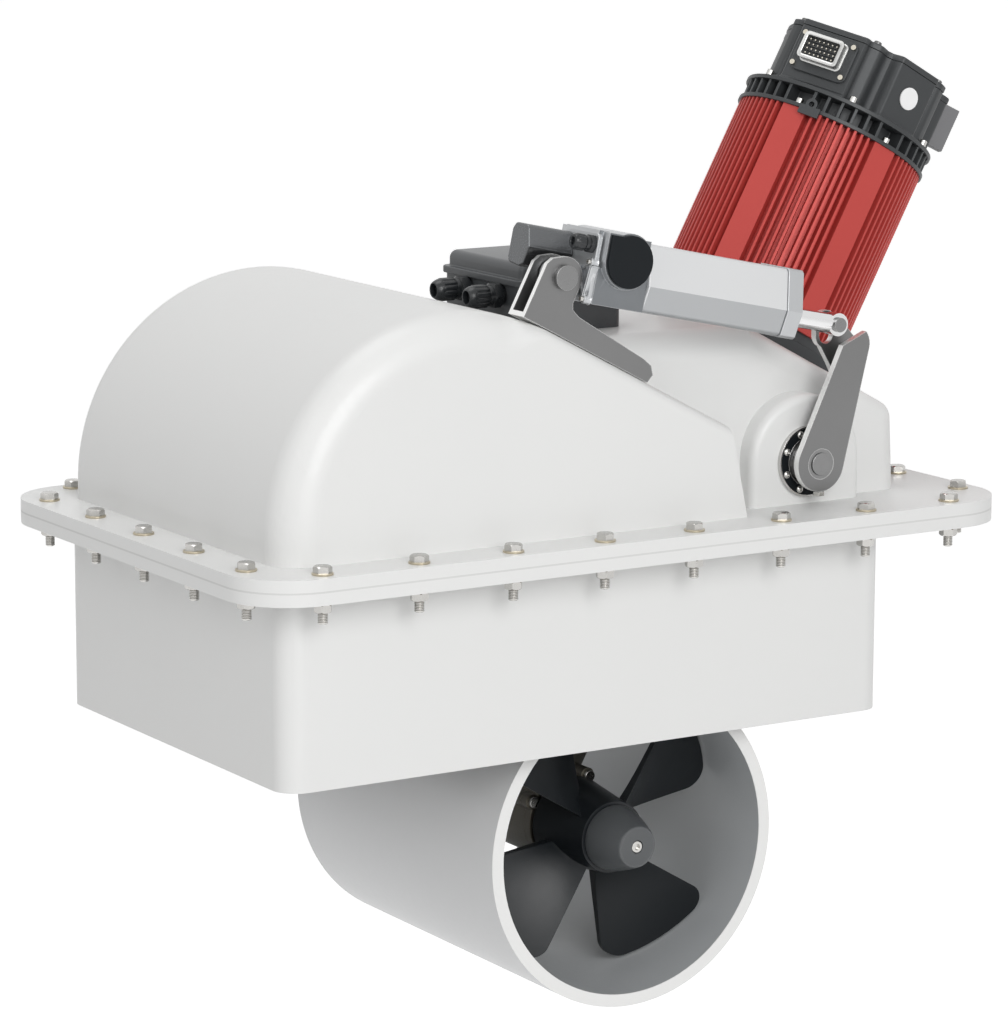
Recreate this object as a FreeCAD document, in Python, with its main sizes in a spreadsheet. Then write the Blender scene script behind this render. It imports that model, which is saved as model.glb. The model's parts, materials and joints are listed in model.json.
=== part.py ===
import FreeCAD, Part
import math
import os
import PartDesign
import Sketcher
from FreeCAD import Placement, Rotation, Vector
from types import SimpleNamespace

# Retractable swing thruster, shown with its tunnel swung down and its actuator drawn in.
# Origin: centre of the bolt pattern, on the joint between the two flanges.
# X runs along the long side of the flange, Y across it away from the lever, Z up.

# Driving dimensions in millimetres and degrees
DRIVING = {
    # hull skirt and bolted flanges
    "skirt_left": 317,
    "skirt_right": 252.5,
    "skirt_half_width": 187,
    "skirt_bottom": 165.5,
    "skirt_wall": 8,
    "skirt_corner": 20,
    "flange_half_length": 359,
    "flange_half_width": 228,
    "flange_corner": 55,
    "flange_plate": 9.6,
    "gasket_plate": 1.5,
    # flange bolts
    "long_row_bolts": 8,
    "long_row_edge": 15.5,
    "long_row_corner": 61.5,
    "short_row_bolts": 5,
    "short_row_edge": 19,
    "short_row_corner": 58,
    "bolt_radius": 4,
    "bolt_clearance": 0.5,
    "bolt_flats": 13,
    "bolt_head": 5.3,
    "washer_radius": 8.5,
    "washer_plate": 1.6,
    "nut_height": 6.8,
    "thread_end": 9,
    # upper housing
    "housing_wall": 8,
    "dome_radius": 167,
    "dome_height": 27,
    "roof_angle": 27.8,
    "roof_end": 97.4,
    "roof_foot": 112,
    "wall_draft": 2,
    "dome_round": 30,
    "roof_round": 9,
    "tower_top": 157,
    "tower_left": 60,
    "tower_right": 297,
    "tower_half_width": 145,
    "tower_draft": 4,
    "tower_round": 24,
    "tower_corner_round": 16,
    "boss_radius": 55,
    "boss_face": 160,
    "boss_round": 7,
    # pivot and its bearings
    "pivot_x": 190,
    "pivot_z": 46,
    "swing_shaft_radius": 12.5,
    "swing_shaft_inner": 95,
    "bearing_radius": 29.5,
    "bearing_plate": 4,
    "bearing_recess": 2,
    "bearing_spigot": 19,
    "cover_outer": 28,
    "cover_inner": 21,
    "cover_plate": 1.5,
    "cover_screws": 8,
    "cover_screw_turn": 22.5,
    "shaft_collar": 17,
    "collar_gap": 0.5,
    "running_clearance": 0.05,
    "small_screw": 2,
    "small_screw_grip": 6,
    # lever arm on the near pivot shaft
    "lever_standoff": 10,
    "lever_plate": 6,
    "lever_gap": 18,
    "lever_hub": 23,
    "lever_left_lean": 25.4,
    "lever_right_lean": 14.1,
    "lever_left_length": 96,
    "lever_right_length": 108.5,
    "lever_top_round": 16,
    "rod_pin_x": 22,
    "rod_pin_z": 112.5,
    "rod_eye": 9.5,
    "rod_pin_radius": 5,
    "slot_half_width": 7,
    "slot_wall": 3.5,
    "slot_travel": 10.2,
    "slot_offset": 1.7,
    # clevis bracket on the sloping roof, placed along and above the roof
    "clevis_along": -7.4,
    "clevis_height": 43.1,
    "clevis_round": 16.5,
    "clevis_pin_radius": 8,
    "tang_eye": 13,
    "bracket_plate": 4,
    "bracket_width": 23,
    "bracket_reach": 104,
    "bracket_heel": 27.5,
    "roof_screw": 2.5,
    # linear actuator, measured from the clevis pin along the rod
    "rod_radius": 8,
    "rod_back": 90,
    "eye_width": 12,
    "tube_start": 73.5,
    "tube_end": 211,
    "end_cap_length": 15,
    "tube_front_reach": 22,
    "tube_back_reach": 23,
    "tube_top": 37.5,
    "tube_floor": 17,
    "gear_case_start": 24,
    "gear_boss_radius": 22.5,
    "gear_boss_x": 48.2,
    "gear_boss_z": 20.7,
    "gear_boss_front_reach": 25,
    "gear_boss_back_reach": 44,
    "small_motor_front_reach": 14,
    "small_motor_back_reach": 42,
    "small_motor_top": 36,
    "small_motor_floor": 2,
    "small_motor_length": 43,
    # tilted motor
    "leg_tilt": 28.9,
    "mount_face": 80,
    "drive_hole": 30,
    "foot_half_width": 80,
    "foot_plate": 17,
    "foot_corner": 30,
    "foot_screw_spot": 58,
    "bell_radius": 80,
    "bell_height": 8,
    "motor_core": 76,
    "motor_fin_tip": 84.5,
    "motor_body_height": 173,
    "rib_width": 23,
    "fins_per_sector": 9,
    "vent_ring_radius": 86,
    "vent_ring_plate": 3.5,
    "vent_gap": 14,
    "vent_blades_per_group": 6,
    "cap_radius": 75,
    "cap_height": 51,
    "lid_plate": 5,
    "cap_lobes": 6,
    "cap_lobe_radius": 8,
    "cap_lobe_turn": 62,
    "connector_turn": 150,
    "disc_turn": 88,
    "terminal_turn": 19,
    "eyelet_turn": 142,
    # swinging tunnel, its cradle and gear leg
    "leg_length": 347.4,
    "tunnel_bore": 250,
    "tunnel_wall": 10.5,
    "tunnel_length": 320,
    "arm_inner": 100,
    "arm_plate": 12,
    "arm_hub": 28,
    "saddle_plate": 10,
    "saddle_angle": 21,
    "leg_tube": 27,
    "leg_top": 75,
    "pod_radius": 38,
    "pod_front": 60,
    "pod_back": 70,
    "pod_wall": 8,
    "shaft_radius": 10,
    "leg_screw_circle": 40,
    # drive joint and bevel gears
    "joint_radius": 20,
    "joint_ear": 4.8,
    "joint_reach": 24,
    "joint_pin": 5,
    "pinion_radius": 15,
    "wheel_radius": 20,
    "gear_face": 8,
    "gear_gap": 0.5,
    # propeller
    "propeller_tip": 122,
    "blade_count": 4,
    "blade_angle": 33.5,
    "blade_pitch": 40,
    "blade_mid": 100,
    "blade_spread": 48,
    "blade_corner": 16,
    "blade_root_thickness": 7,
    "blade_tip_thickness": 3,
    "hub_front": 129,
    "hub_back": 66,
    "hub_front_radius": 30,
    "hub_back_radius": 38,
    "nose_end": 166,
    "nose_tip_radius": 16.5,
    # control box on top of the tower
    "box_left": 38,
    "box_right": 60,
    "box_front": 80,
    "box_back": 42,
    "box_height": 38,
    "box_lid": 19,
    "box_wall": 3,
    "lid_overhang": 2.5,
    "gland_radius": 8,
    "gland_height": 29.5,
}
doc = FreeCAD.newDocument("Thruster")
sheet = doc.addObject("Spreadsheet::Sheet", "Sizes")
for row, (alias, number) in enumerate(DRIVING.items(), start=1):
    sheet.set(f"A{row}", alias)
    sheet.set(f"B{row}", str(number))
    sheet.setAlias(f"B{row}", alias)
doc.recompute()


class Size:
    """A number that carries the spreadsheet formula it comes from."""

    def __init__(self, number, formula=None):
        self.number = float(number)
        self.formula = formula or f"({self.number:.9g})"

    def joined(self, other, sign, number):
        return Size(number, f"({self.formula} {sign} {other.formula})")

    def __add__(self, other):
        other = sized(other)
        return self.joined(other, "+", self.number + other.number)

    def __sub__(self, other):
        other = sized(other)
        return self.joined(other, "-", self.number - other.number)

    def __mul__(self, other):
        other = sized(other)
        return self.joined(other, "*", self.number * other.number)

    def __truediv__(self, other):
        other = sized(other)
        return self.joined(other, "/", self.number / other.number)

    def __radd__(self, other):
        return sized(other) + self

    def __rsub__(self, other):
        return sized(other) - self

    def __rmul__(self, other):
        return sized(other) * self

    def __neg__(self):
        return sized(0) - self

    def __float__(self):
        return self.number


def sized(value):
    return value if isinstance(value, Size) else Size(value)


def sine(angle):
    angle = sized(angle)
    return Size(math.sin(math.radians(angle.number)), f"sin({angle.formula} * 1deg)")


def cosine(angle):
    angle = sized(angle)
    return Size(math.cos(math.radians(angle.number)), f"cos({angle.formula} * 1deg)")


def root(value):
    return Size(math.sqrt(value.number), f"sqrt({value.formula})")


def slope(rise, run):
    angle = math.degrees(math.atan2(rise.number, run.number))
    return Size(angle, f"(atan2({rise.formula}; {run.formula}) / 1deg)")


# Every driving dimension as a bound size, and the same as plain numbers
size = SimpleNamespace(**{alias: Size(getattr(sheet, alias), f"Sizes.{alias}") for alias in DRIVING})
mm = SimpleNamespace(**{alias: float(getattr(sheet, alias)) for alias in DRIVING})

# Heights and places that several pieces share
FLANGE_FOOT = size.gasket_plate / 2
FLANGE_TOP = FLANGE_FOOT + size.flange_plate
EPS = 1.0
NODES = []


def bind(thing, name, value):
    """Set a property and keep it tied to the sheet."""
    value = sized(value)
    if "." not in name:
        setattr(thing, name, value.number)
    if "Sizes" in value.formula:
        thing.setExpression(name, value.formula)


class Frame:
    """A local frame: an origin and a turn about the Y axis."""

    def __init__(self, x=0, y=0, z=0, tilt=0):
        self.x = sized(x)
        self.y = sized(y)
        self.z = sized(z)
        self.tilt = sized(tilt)

    def at(self, along, above):
        """X and Z of a point given along and above the frame's own axes."""
        return (self.x + along * cosine(self.tilt) + above * sine(self.tilt),
                self.z - along * sine(self.tilt) + above * cosine(self.tilt))

    def hold(self, thing):
        turn = Rotation(Vector(0, 1, 0), self.tilt.number)
        thing.Placement = Placement(Vector(self.x.number, self.y.number, self.z.number), turn)
        bind(thing, "Placement.Base.x", self.x)
        bind(thing, "Placement.Base.y", self.y)
        bind(thing, "Placement.Base.z", self.z)
        if self.tilt.number:
            bind(thing, "Placement.Rotation.Angle", self.tilt)


HULL = Frame()
PIVOT = Frame(x=size.pivot_x, z=size.pivot_z)
LEG = Frame(x=size.pivot_x, z=size.pivot_z, tilt=size.leg_tilt)
CROWN = Frame(x=size.dome_radius - size.skirt_left, z=size.dome_height, tilt=size.roof_angle)
crown_x, crown_z = CROWN.at(sized(0), size.dome_radius)
ROOF = Frame(x=crown_x, z=crown_z, tilt=size.roof_angle)
clevis_x, clevis_z = ROOF.at(size.clevis_along, size.clevis_height)
pin_x = size.pivot_x + size.rod_pin_x
pin_z = size.pivot_z + size.rod_pin_z
ROD = Frame(x=clevis_x, z=clevis_z, tilt=slope(clevis_z - pin_z, pin_x - clevis_x))
ROD_LENGTH = root((pin_x - clevis_x) * (pin_x - clevis_x) + (clevis_z - pin_z) * (clevis_z - pin_z))
hub_x, hub_z = LEG.at(sized(0), -size.leg_length)
TUNNEL = Frame(x=hub_x, z=hub_z, tilt=size.leg_tilt)

# Distances in front of the middle plane: lever cheeks, actuator and its bracket
LEVER_BACK = size.boss_face + size.bearing_plate + size.lever_standoff
LEVER_FRONT = LEVER_BACK + size.lever_plate
LEVER_MIDDLE = LEVER_BACK + size.lever_plate / 2
REAR_FRONT = LEVER_BACK - size.lever_gap
REAR_BACK = REAR_FRONT - size.lever_plate
ROD_PLANE = LEVER_BACK - size.lever_gap / 2
BRACKET_FRONT = ROD_PLANE + size.bracket_width / 2
TUBE_FRONT = ROD_PLANE + size.tube_front_reach
TUBE_BACK = ROD_PLANE - size.tube_back_reach

TURNS = {"X": Rotation(Vector(0, 1, 0), 90), "Y": Rotation(Vector(1, 0, 0), -90), "Z": Rotation()}


def spot(thing, axis, start, across):
    """Place a piece that runs along an axis from start, with its other two coordinates."""
    first, second = across
    x, y, z = {"X": (start, first, second), "Y": (first, start, second), "Z": (first, second, start)}[axis]
    thing.Placement = Placement(Vector(float(x), float(y), float(z)), TURNS[axis])
    bind(thing, "Placement.Base.x", x)
    bind(thing, "Placement.Base.y", y)
    bind(thing, "Placement.Base.z", z)
    return thing


def cylinder(name, radius, axis, start, end, across=(0, 0)):
    rod = doc.addObject("Part::Cylinder", name)
    bind(rod, "Radius", radius)
    bind(rod, "Height", sized(end) - start)
    return spot(rod, axis, start, across)


def cone(name, start_radius, end_radius, axis, start, end, across=(0, 0)):
    taper = doc.addObject("Part::Cone", name)
    bind(taper, "Radius1", start_radius)
    bind(taper, "Radius2", end_radius)
    bind(taper, "Height", sized(end) - start)
    return spot(taper, axis, start, across)


def prism(name, sides, flats, axis, start, end, across=(0, 0)):
    """Bar with equal sides, given across its flats."""
    bar = doc.addObject("Part::Prism", name)
    bar.Polygon = sides
    bind(bar, "Circumradius", flats / 2 / math.cos(math.pi / sides))
    bind(bar, "Height", sized(end) - start)
    return spot(bar, axis, start, across)


def block(name, x, y, z):
    """Box between pairs of coordinates."""
    box = doc.addObject("Part::Box", name)
    bind(box, "Length", sized(x[1]) - x[0])
    bind(box, "Width", sized(y[1]) - y[0])
    bind(box, "Height", sized(z[1]) - z[0])
    return spot(box, "Z", z[0], (x[0], y[0]))


def drawn(name, role, outline, offset, pairs):
    """PartDesign body with a closed sketch of straight lines on one of its planes."""
    body = doc.addObject("PartDesign::Body", name)
    sketch = body.newObject("Sketcher::SketchObject", name + "_sketch")
    plane = next(item for item in body.Origin.OriginFeatures if item.Role == role)
    sketch.AttachmentSupport = [(plane, "")]
    sketch.MapMode = "FlatFace"
    sketch.AttachmentOffset = Placement(Vector(0, 0, float(offset)), Rotation())
    bind(sketch, "AttachmentOffset.Base.z", offset)
    corners = [Vector(float(first), float(second), 0) for first, second in outline]
    for start, end in pairs:
        sketch.addGeometry(Part.LineSegment(corners[start], corners[end]), False)
    count = len(outline)
    for number in range(count):
        sketch.addConstraint(Sketcher.Constraint("Coincident", number, 2, (number + 1) % count, 1))
    for number, point in enumerate(outline):
        for kind, value in zip(("DistanceX", "DistanceY"), point):
            value = sized(value)
            index = sketch.addConstraint(Sketcher.Constraint(kind, -1, 1, number, 1, value.number))
            if "Sizes" in value.formula:
                sketch.setExpression(f"Constraints[{index}]", value.formula)
    return body, sketch


def ring_of(outline):
    count = len(outline)
    return [(number, (number + 1) % count) for number in range(count)]


def plate(name, outline, start, end):
    """Flat plate with an outline of X and Z points, between two Y coordinates."""
    body, sketch = drawn(name, "XZ_Plane", outline, -sized(end), ring_of(outline))
    pad = body.newObject("PartDesign::Pad", name + "_pad")
    pad.Profile = sketch
    bind(pad, "Length", sized(end) - start)
    return body


def bar(name, outline, start, end):
    """Bar along X with an outline of Y and Z points."""
    body, sketch = drawn(name, "YZ_Plane", outline, sized(start), ring_of(outline))
    pad = body.newObject("PartDesign::Pad", name + "_pad")
    pad.Profile = sketch
    bind(pad, "Length", sized(end) - start)
    return body


def fused(name, pieces):
    if len(pieces) == 1:
        return pieces[0]
    whole = doc.addObject("Part::MultiFuse", name)
    whole.Shapes = pieces
    return whole


def cut(name, base, holes):
    remainder = doc.addObject("Part::Cut", name)
    remainder.Base = base
    remainder.Tool = fused(name + "_holes", holes)
    return remainder


def common(name, first, second):
    shared = doc.addObject("Part::Common", name)
    shared.Base = first
    shared.Tool = second
    return shared


def rounded(name, base, radii):
    """Fillet with the pair of end radii that the radii function gives for an edge."""
    doc.recompute()
    fillet = doc.addObject("Part::Fillet", name)
    fillet.Base = base
    picked = []
    for number, edge in enumerate(base.Shape.Edges, start=1):
        pair = radii(edge)
        if pair:
            picked.append((number, float(pair[0]), float(pair[1])))
    fillet.Edges = picked
    return fillet


def middle(edge):
    return edge.valueAt((edge.FirstParameter + edge.LastParameter) / 2)


def corner_rounds(name, base, direction, radius):
    """Round every straight edge that runs along a direction."""
    def radii(edge):
        ends = [vertex.Point for vertex in edge.Vertexes]
        along = len(ends) == 2 and (ends[1] - ends[0]).normalize().cross(direction).Length < 1e-6
        return (radius, radius) if along else None
    return rounded(name, base, radii)


def node(label, pieces, holes=(), frame=HULL):
    """Finish a sub-part: pieces fused, holes cut, placed in its frame."""
    whole = fused(label + "_solid", list(pieces))
    if holes:
        whole = cut(label + "_cut", whole, list(holes))
    group = doc.addObject("Part::Compound", label)
    group.Links = [whole]
    group.Label = label
    frame.hold(group)
    NODES.append(group)
    return group


def set_of(label, pieces, frame=HULL):
    """Finish a sub-part made of several separate solids."""
    group = doc.addObject("Part::Compound", label)
    group.Links = list(pieces)
    group.Label = label
    frame.hold(group)
    NODES.append(group)
    return group


def copies(label, master, spots, frame=HULL):
    """Finish a sub-part made of copies of one piece at a list of places."""
    doc.recompute()
    group = doc.addObject("Part::Feature", label)
    solids = []
    for x, y, z in spots:
        solid = master.Shape.copy()
        solid.translate(Vector(float(x), float(y), float(z)))
        solids.append(solid)
    group.Shape = Part.makeCompound(solids)
    group.Label = label
    frame.hold(group)
    NODES.append(group)
    return group


def in_frame(name, frame, pieces):
    """Pieces made in a local frame, to be used in a boolean of another one."""
    group = doc.addObject("Part::Compound", name)
    group.Links = list(pieces)
    frame.hold(group)
    return group


def foot_spots():
    reach = size.foot_screw_spot
    return [(reach * first, reach * second) for first in (-1, 1) for second in (-1, 1)]


def bracket_spots():
    return [(size.bracket_reach * share, -ROD_PLANE) for share in (0.35, 0.6, 0.85)]


def across(side, inner, outer):
    """Y range between two distances from the middle plane, on the near (-1) or far side."""
    return (-sized(outer), -sized(inner)) if side < 0 else (sized(inner), sized(outer))


def cover_screw_spots():
    return circle_spots(int(mm.cover_screws), (size.cover_outer + size.cover_inner) / 2, mm.cover_screw_turn)


def circle_spots(count, radius, first=0.0):
    """Pairs of coordinates evenly round a circle."""
    spots = []
    for number in range(count):
        angle = first + 360.0 * number / count
        spots.append((radius * cosine(angle), radius * sine(angle)))
    return spots


# Hull skirt, gasket and flange fasteners

def flange_spots():
    """Bolt rows along the four sides, set in from the edges and the corners."""
    long_row = int(mm.long_row_bolts)
    short_row = int(mm.short_row_bolts)
    long_pitch = (size.flange_half_length - size.long_row_corner) * 2 / (long_row - 1)
    short_pitch = (size.flange_half_width - size.short_row_corner) * 2 / (short_row - 1)
    spots = []
    for side in (-1, 1):
        for number in range(long_row):
            spots.append((long_pitch * (number - (long_row - 1) / 2),
                          (size.flange_half_width - size.long_row_edge) * side))
        for number in range(short_row):
            spots.append(((size.flange_half_length - size.short_row_edge) * side,
                          short_pitch * (number - (short_row - 1) / 2)))
    return spots


def flange_block(name, low, high):
    slab = block(name, (-size.flange_half_length, size.flange_half_length),
                 (-size.flange_half_width, size.flange_half_width), (low, high))
    return corner_rounds(name + "_round", slab, Vector(0, 0, 1), mm.flange_corner)


def skirt_block(name, inset, low, high):
    slab = block(name, (-size.skirt_left + inset, size.skirt_right - inset),
                 (-size.skirt_half_width + inset, size.skirt_half_width - inset), (low, high))
    return corner_rounds(name + "_round", slab, Vector(0, 0, 1), mm.skirt_corner - float(inset))


def bolt_holes(name, low, high):
    radius = size.bolt_radius + size.bolt_clearance
    return [cylinder(name, radius, "Z", low, high, spot_xy) for spot_xy in flange_spots()]


def hull_skirt():
    pieces = [flange_block("skirt_flange", -FLANGE_TOP, -FLANGE_FOOT),
              skirt_block("skirt_walls", sized(0), -size.skirt_bottom, -FLANGE_FOOT)]
    holes = [skirt_block("skirt_opening", size.skirt_wall, -size.skirt_bottom - EPS, -FLANGE_FOOT + EPS)]
    holes += bolt_holes("skirt_bolt_hole", -FLANGE_TOP - EPS, -FLANGE_FOOT + EPS)
    node("hull_skirt", pieces, holes)


def flange_gasket():
    holes = [skirt_block("gasket_opening", size.skirt_wall, -FLANGE_FOOT - EPS, FLANGE_FOOT + EPS)]
    holes += bolt_holes("gasket_bolt_hole", -FLANGE_FOOT - EPS, FLANGE_FOOT + EPS)
    node("flange_gasket", [flange_block("gasket_sheet", -FLANGE_FOOT, FLANGE_FOOT)], holes)


def flange_fasteners():
    spots = [(x, y, 0) for x, y in flange_spots()]
    head_foot = FLANGE_TOP + size.washer_plate
    nut_top = -FLANGE_TOP - size.washer_plate
    nut_foot = nut_top - size.nut_height
    bore = size.bolt_radius + size.running_clearance

    head = prism("bolt_head_bar", 6, size.bolt_flats, "Z", head_foot, head_foot + size.bolt_head)
    shank = cylinder("bolt_shank", size.bolt_radius, "Z", nut_foot - size.thread_end, head_foot)
    copies("flange_bolts", fused("bolt", [head, shank]), spots)

    def washer(name, low, high):
        disc = cylinder(name, size.washer_radius, "Z", low, high)
        return cut(name + "_cut", disc, [cylinder(name + "_bore", bore, "Z", low - EPS, high + EPS)])

    pair = doc.addObject("Part::Compound", "washer_pair")
    pair.Links = [washer("washer_top", FLANGE_TOP, head_foot), washer("washer_lower", nut_top, -FLANGE_TOP)]
    copies("flange_washers", pair, spots)
    nut = prism("nut_bar", 6, size.bolt_flats, "Z", nut_foot, nut_top)
    nut_bore = cylinder("nut_bore", bore, "Z", nut_foot - EPS, nut_top + EPS)
    copies("flange_nuts", cut("nut", nut, [nut_bore]), spots)


# Upper housing

BELOW = 40
BEYOND = 400
AXIS = Vector(math.sin(math.radians(mm.leg_tilt)), 0, math.cos(math.radians(mm.leg_tilt)))
SIDE = Vector(AXIS.z, 0, -AXIS.x)
PIVOT_POINT = Vector(mm.pivot_x, 0, mm.pivot_z)
DOME_CENTRE = Vector(mm.dome_radius - mm.skirt_left, 0, mm.dome_height)


def swept(points, direction):
    """Solid swept from a closed outline of corner points and arcs."""
    edges = []
    for start, end in zip(points, points[1:] + points[:1]):
        if isinstance(start, Part.Edge):
            edges.append(start)
            start = start.Vertexes[-1].Point
        if isinstance(end, Part.Edge):
            end = end.Vertexes[0].Point
        if start.distanceToPoint(end) > 1e-6:
            edges.append(Part.makeLine(start, end))
    return Part.Face(Part.Wire(edges)).extrude(direction)


def between_walls(half_width, draft, shape):
    """Shape trimmed by two walls that lean inwards above the flange."""
    lean = math.tan(math.radians(draft))
    top = float(FLANGE_TOP)
    foot = half_width + (top + BELOW) * lean
    head = half_width - (BEYOND - top) * lean
    outline = [Vector(-BEYOND, -foot, -BELOW), Vector(-BEYOND, foot, -BELOW),
               Vector(-BEYOND, head, BEYOND), Vector(-BEYOND, -head, BEYOND)]
    return shape.common(swept(outline, Vector(2 * BEYOND, 0, 0)))


def spanned(outline):
    """Outline in the middle plane swept across the whole width."""
    solid = swept(outline, Vector(0, BEYOND, 0))
    solid.translate(Vector(0, -BEYOND / 2, 0))
    return solid


def dome_shape(inset):
    """Barrel vault over the stowed tunnel, with the roof that slopes down to the pivot."""
    radius = mm.dome_radius - inset
    roof = math.radians(mm.roof_angle)
    normal = Vector(math.sin(roof), 0, math.cos(roof))
    down_roof = Vector(math.cos(roof), 0, -math.sin(roof))
    crown = DOME_CENTRE + normal * mm.dome_radius
    shoulder = crown + down_roof * ((mm.roof_end - crown.x) / down_roof.x)
    fall = (Vector(mm.roof_foot, 0, float(FLANGE_TOP)) - shoulder).normalize()
    inward = Vector(fall.z, 0, -fall.x)
    corner = shoulder + (inward - normal) * (inset / (1 - normal.dot(inward)))

    def on_arc(angle):
        return DOME_CENTRE + Vector(radius * math.sin(angle), 0, radius * math.cos(angle))

    outline = [
        Vector(DOME_CENTRE.x - radius, 0, -BELOW),
        Part.Arc(on_arc(-math.pi / 2), on_arc(-math.pi / 4), on_arc(roof / 2)).toShape(),
        Part.Arc(on_arc(roof / 2), on_arc(roof * 0.75), on_arc(roof)).toShape(),
        corner,
        corner + fall * ((-BELOW - corner.z) / fall.z),
    ]
    return between_walls(mm.skirt_half_width - inset, mm.wall_draft, spanned(outline))


def dome_radii(inset):
    """Large rounds along the vault that pinch to small ones where the roof begins."""
    large = mm.dome_round - inset
    small = max(mm.roof_round - inset, 1.0)

    def radii(edge):
        point = middle(edge)
        ends = [vertex.Point for vertex in edge.Vertexes]
        if abs(point.y) < mm.tower_half_width or abs(ends[0].y - ends[1].y) > mm.tower_half_width:
            return None
        if max(abs(end.z + BELOW) for end in ends) < EPS or point.x > mm.roof_end - EPS:
            return None
        arc = edge.Curve.TypeId != "Part::GeomLine"
        if arc and point.x > DOME_CENTRE.x:
            return (large, small) if ends[0].x < ends[1].x else (small, large)
        if arc or point.x < DOME_CENTRE.x:
            return large, large
        return small, small
    return radii


def tower_shape(inset):
    """Block over the pivot with a flat top and a tilted face for the motor."""
    top = mm.tower_top - inset
    right = mm.tower_right - inset
    face = PIVOT_POINT + AXIS * (mm.mount_face - inset)
    bend = face - SIDE * ((top - face.z) / -SIDE.z)
    edge = face + SIDE * ((right - face.x) / SIDE.x)
    outline = [Vector(-mm.tower_left, 0, -BELOW), Vector(-mm.tower_left, 0, top), bend, edge,
               Vector(right, 0, -BELOW)]
    return between_walls(mm.tower_half_width - inset, mm.tower_draft, spanned(outline))


def tower_radii(inset):
    """Rounds along the top edges and down the two outer corners."""
    large = mm.tower_round - inset
    small = mm.tower_corner_round - inset

    def radii(edge):
        point = middle(edge)
        if point.z < -BELOW + EPS or point.x < -mm.tower_left + EPS:
            return None
        if abs(point.y) > EPS and point.x < mm.pivot_x:
            return large, large
        if abs(point.y) > EPS and point.z > mm.pivot_z:
            return (large, small) if edge.Vertexes[0].Point.x < edge.Vertexes[1].Point.x else (small, large)
        if point.x > mm.pivot_x + mm.boss_radius:
            return small, small
        return None
    return radii


def boss_shape(inset):
    """Arched boss through both walls that carries the pivot bearings."""
    radius = mm.boss_radius - inset
    face = mm.boss_face - inset
    left = PIVOT_POINT + Vector(-radius, 0, 0)
    right = PIVOT_POINT + Vector(radius, 0, 0)
    arch = Part.Arc(left, PIVOT_POINT + Vector(0, 0, radius), right).toShape()
    outline = [Vector(left.x, 0, -BELOW), arch, Vector(right.x, 0, -BELOW)]
    solid = swept(outline, Vector(0, 2 * face, 0))
    solid.translate(Vector(0, -face, 0))
    return solid


def boss_radii(inset):
    radius = max(mm.boss_round - inset, 0.5)

    def radii(edge):
        point = middle(edge)
        on_face = abs(point.y) > mm.boss_face - inset - EPS and point.z > -BELOW + EPS
        return (radius, radius) if on_face else None
    return radii


def rounded_copy(name, shape, radii):
    base = doc.addObject("Part::Feature", name)
    base.Shape = shape
    return rounded(name + "_round", base, radii)


def housing_body(name, inset):
    """Dome, tower and bosses in one, set in by the wall for the inside."""
    parts = [rounded_copy(name + "_dome", dome_shape(inset), dome_radii(inset)),
             rounded_copy(name + "_tower", tower_shape(inset), tower_radii(inset)),
             rounded_copy(name + "_boss", boss_shape(inset), boss_radii(inset))]
    return fused(name, parts)


def upper_housing():
    outside = housing_body("housing_outside", 0.0)
    above = block("above_flange", (-BEYOND, BEYOND), (-BEYOND, BEYOND), (FLANGE_FOOT, BEYOND))
    pieces = [common("housing_above", outside, above),
              flange_block("housing_flange", FLANGE_FOOT, FLANGE_TOP)]
    holes = [housing_body("housing_inside", mm.housing_wall)]
    holes += bolt_holes("housing_bolt_hole", FLANGE_FOOT - EPS, FLANGE_TOP + EPS)
    wall = size.housing_wall + EPS
    face = size.mount_face
    drilled = [cylinder("drive_opening", size.drive_hole, "Z", face - wall, face + EPS)]
    drilled += [cylinder("foot_screw_hole", size.bolt_radius + size.running_clearance, "Z",
                         face - wall, face + EPS, at) for at in foot_spots()]
    holes.append(in_frame("motor_holes", LEG, drilled))
    drilled = [cylinder("roof_screw_hole", size.roof_screw + size.running_clearance, "Z", -wall, EPS, at)
               for at in bracket_spots()]
    holes.append(in_frame("bracket_holes", ROOF, drilled))
    spigot = size.bearing_spigot + size.running_clearance
    holes.append(cylinder("bearing_bore", spigot, "Y", -size.boss_face - EPS, size.boss_face + EPS,
                          (size.pivot_x, size.pivot_z)))
    for side in (-1, 1):
        reach = across(side, size.boss_face - size.small_screw_grip, size.boss_face + EPS)
        for x, z in cover_screw_spots():
            holes.append(cylinder("bearing_screw_hole", size.small_screw + size.running_clearance, "Y",
                                  *reach, (size.pivot_x + x, size.pivot_z + z)))
    node("upper_housing", pieces, holes)


hull_skirt()
flange_gasket()
flange_fasteners()
upper_housing()


# Pivot bearings, shafts and lever

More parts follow.
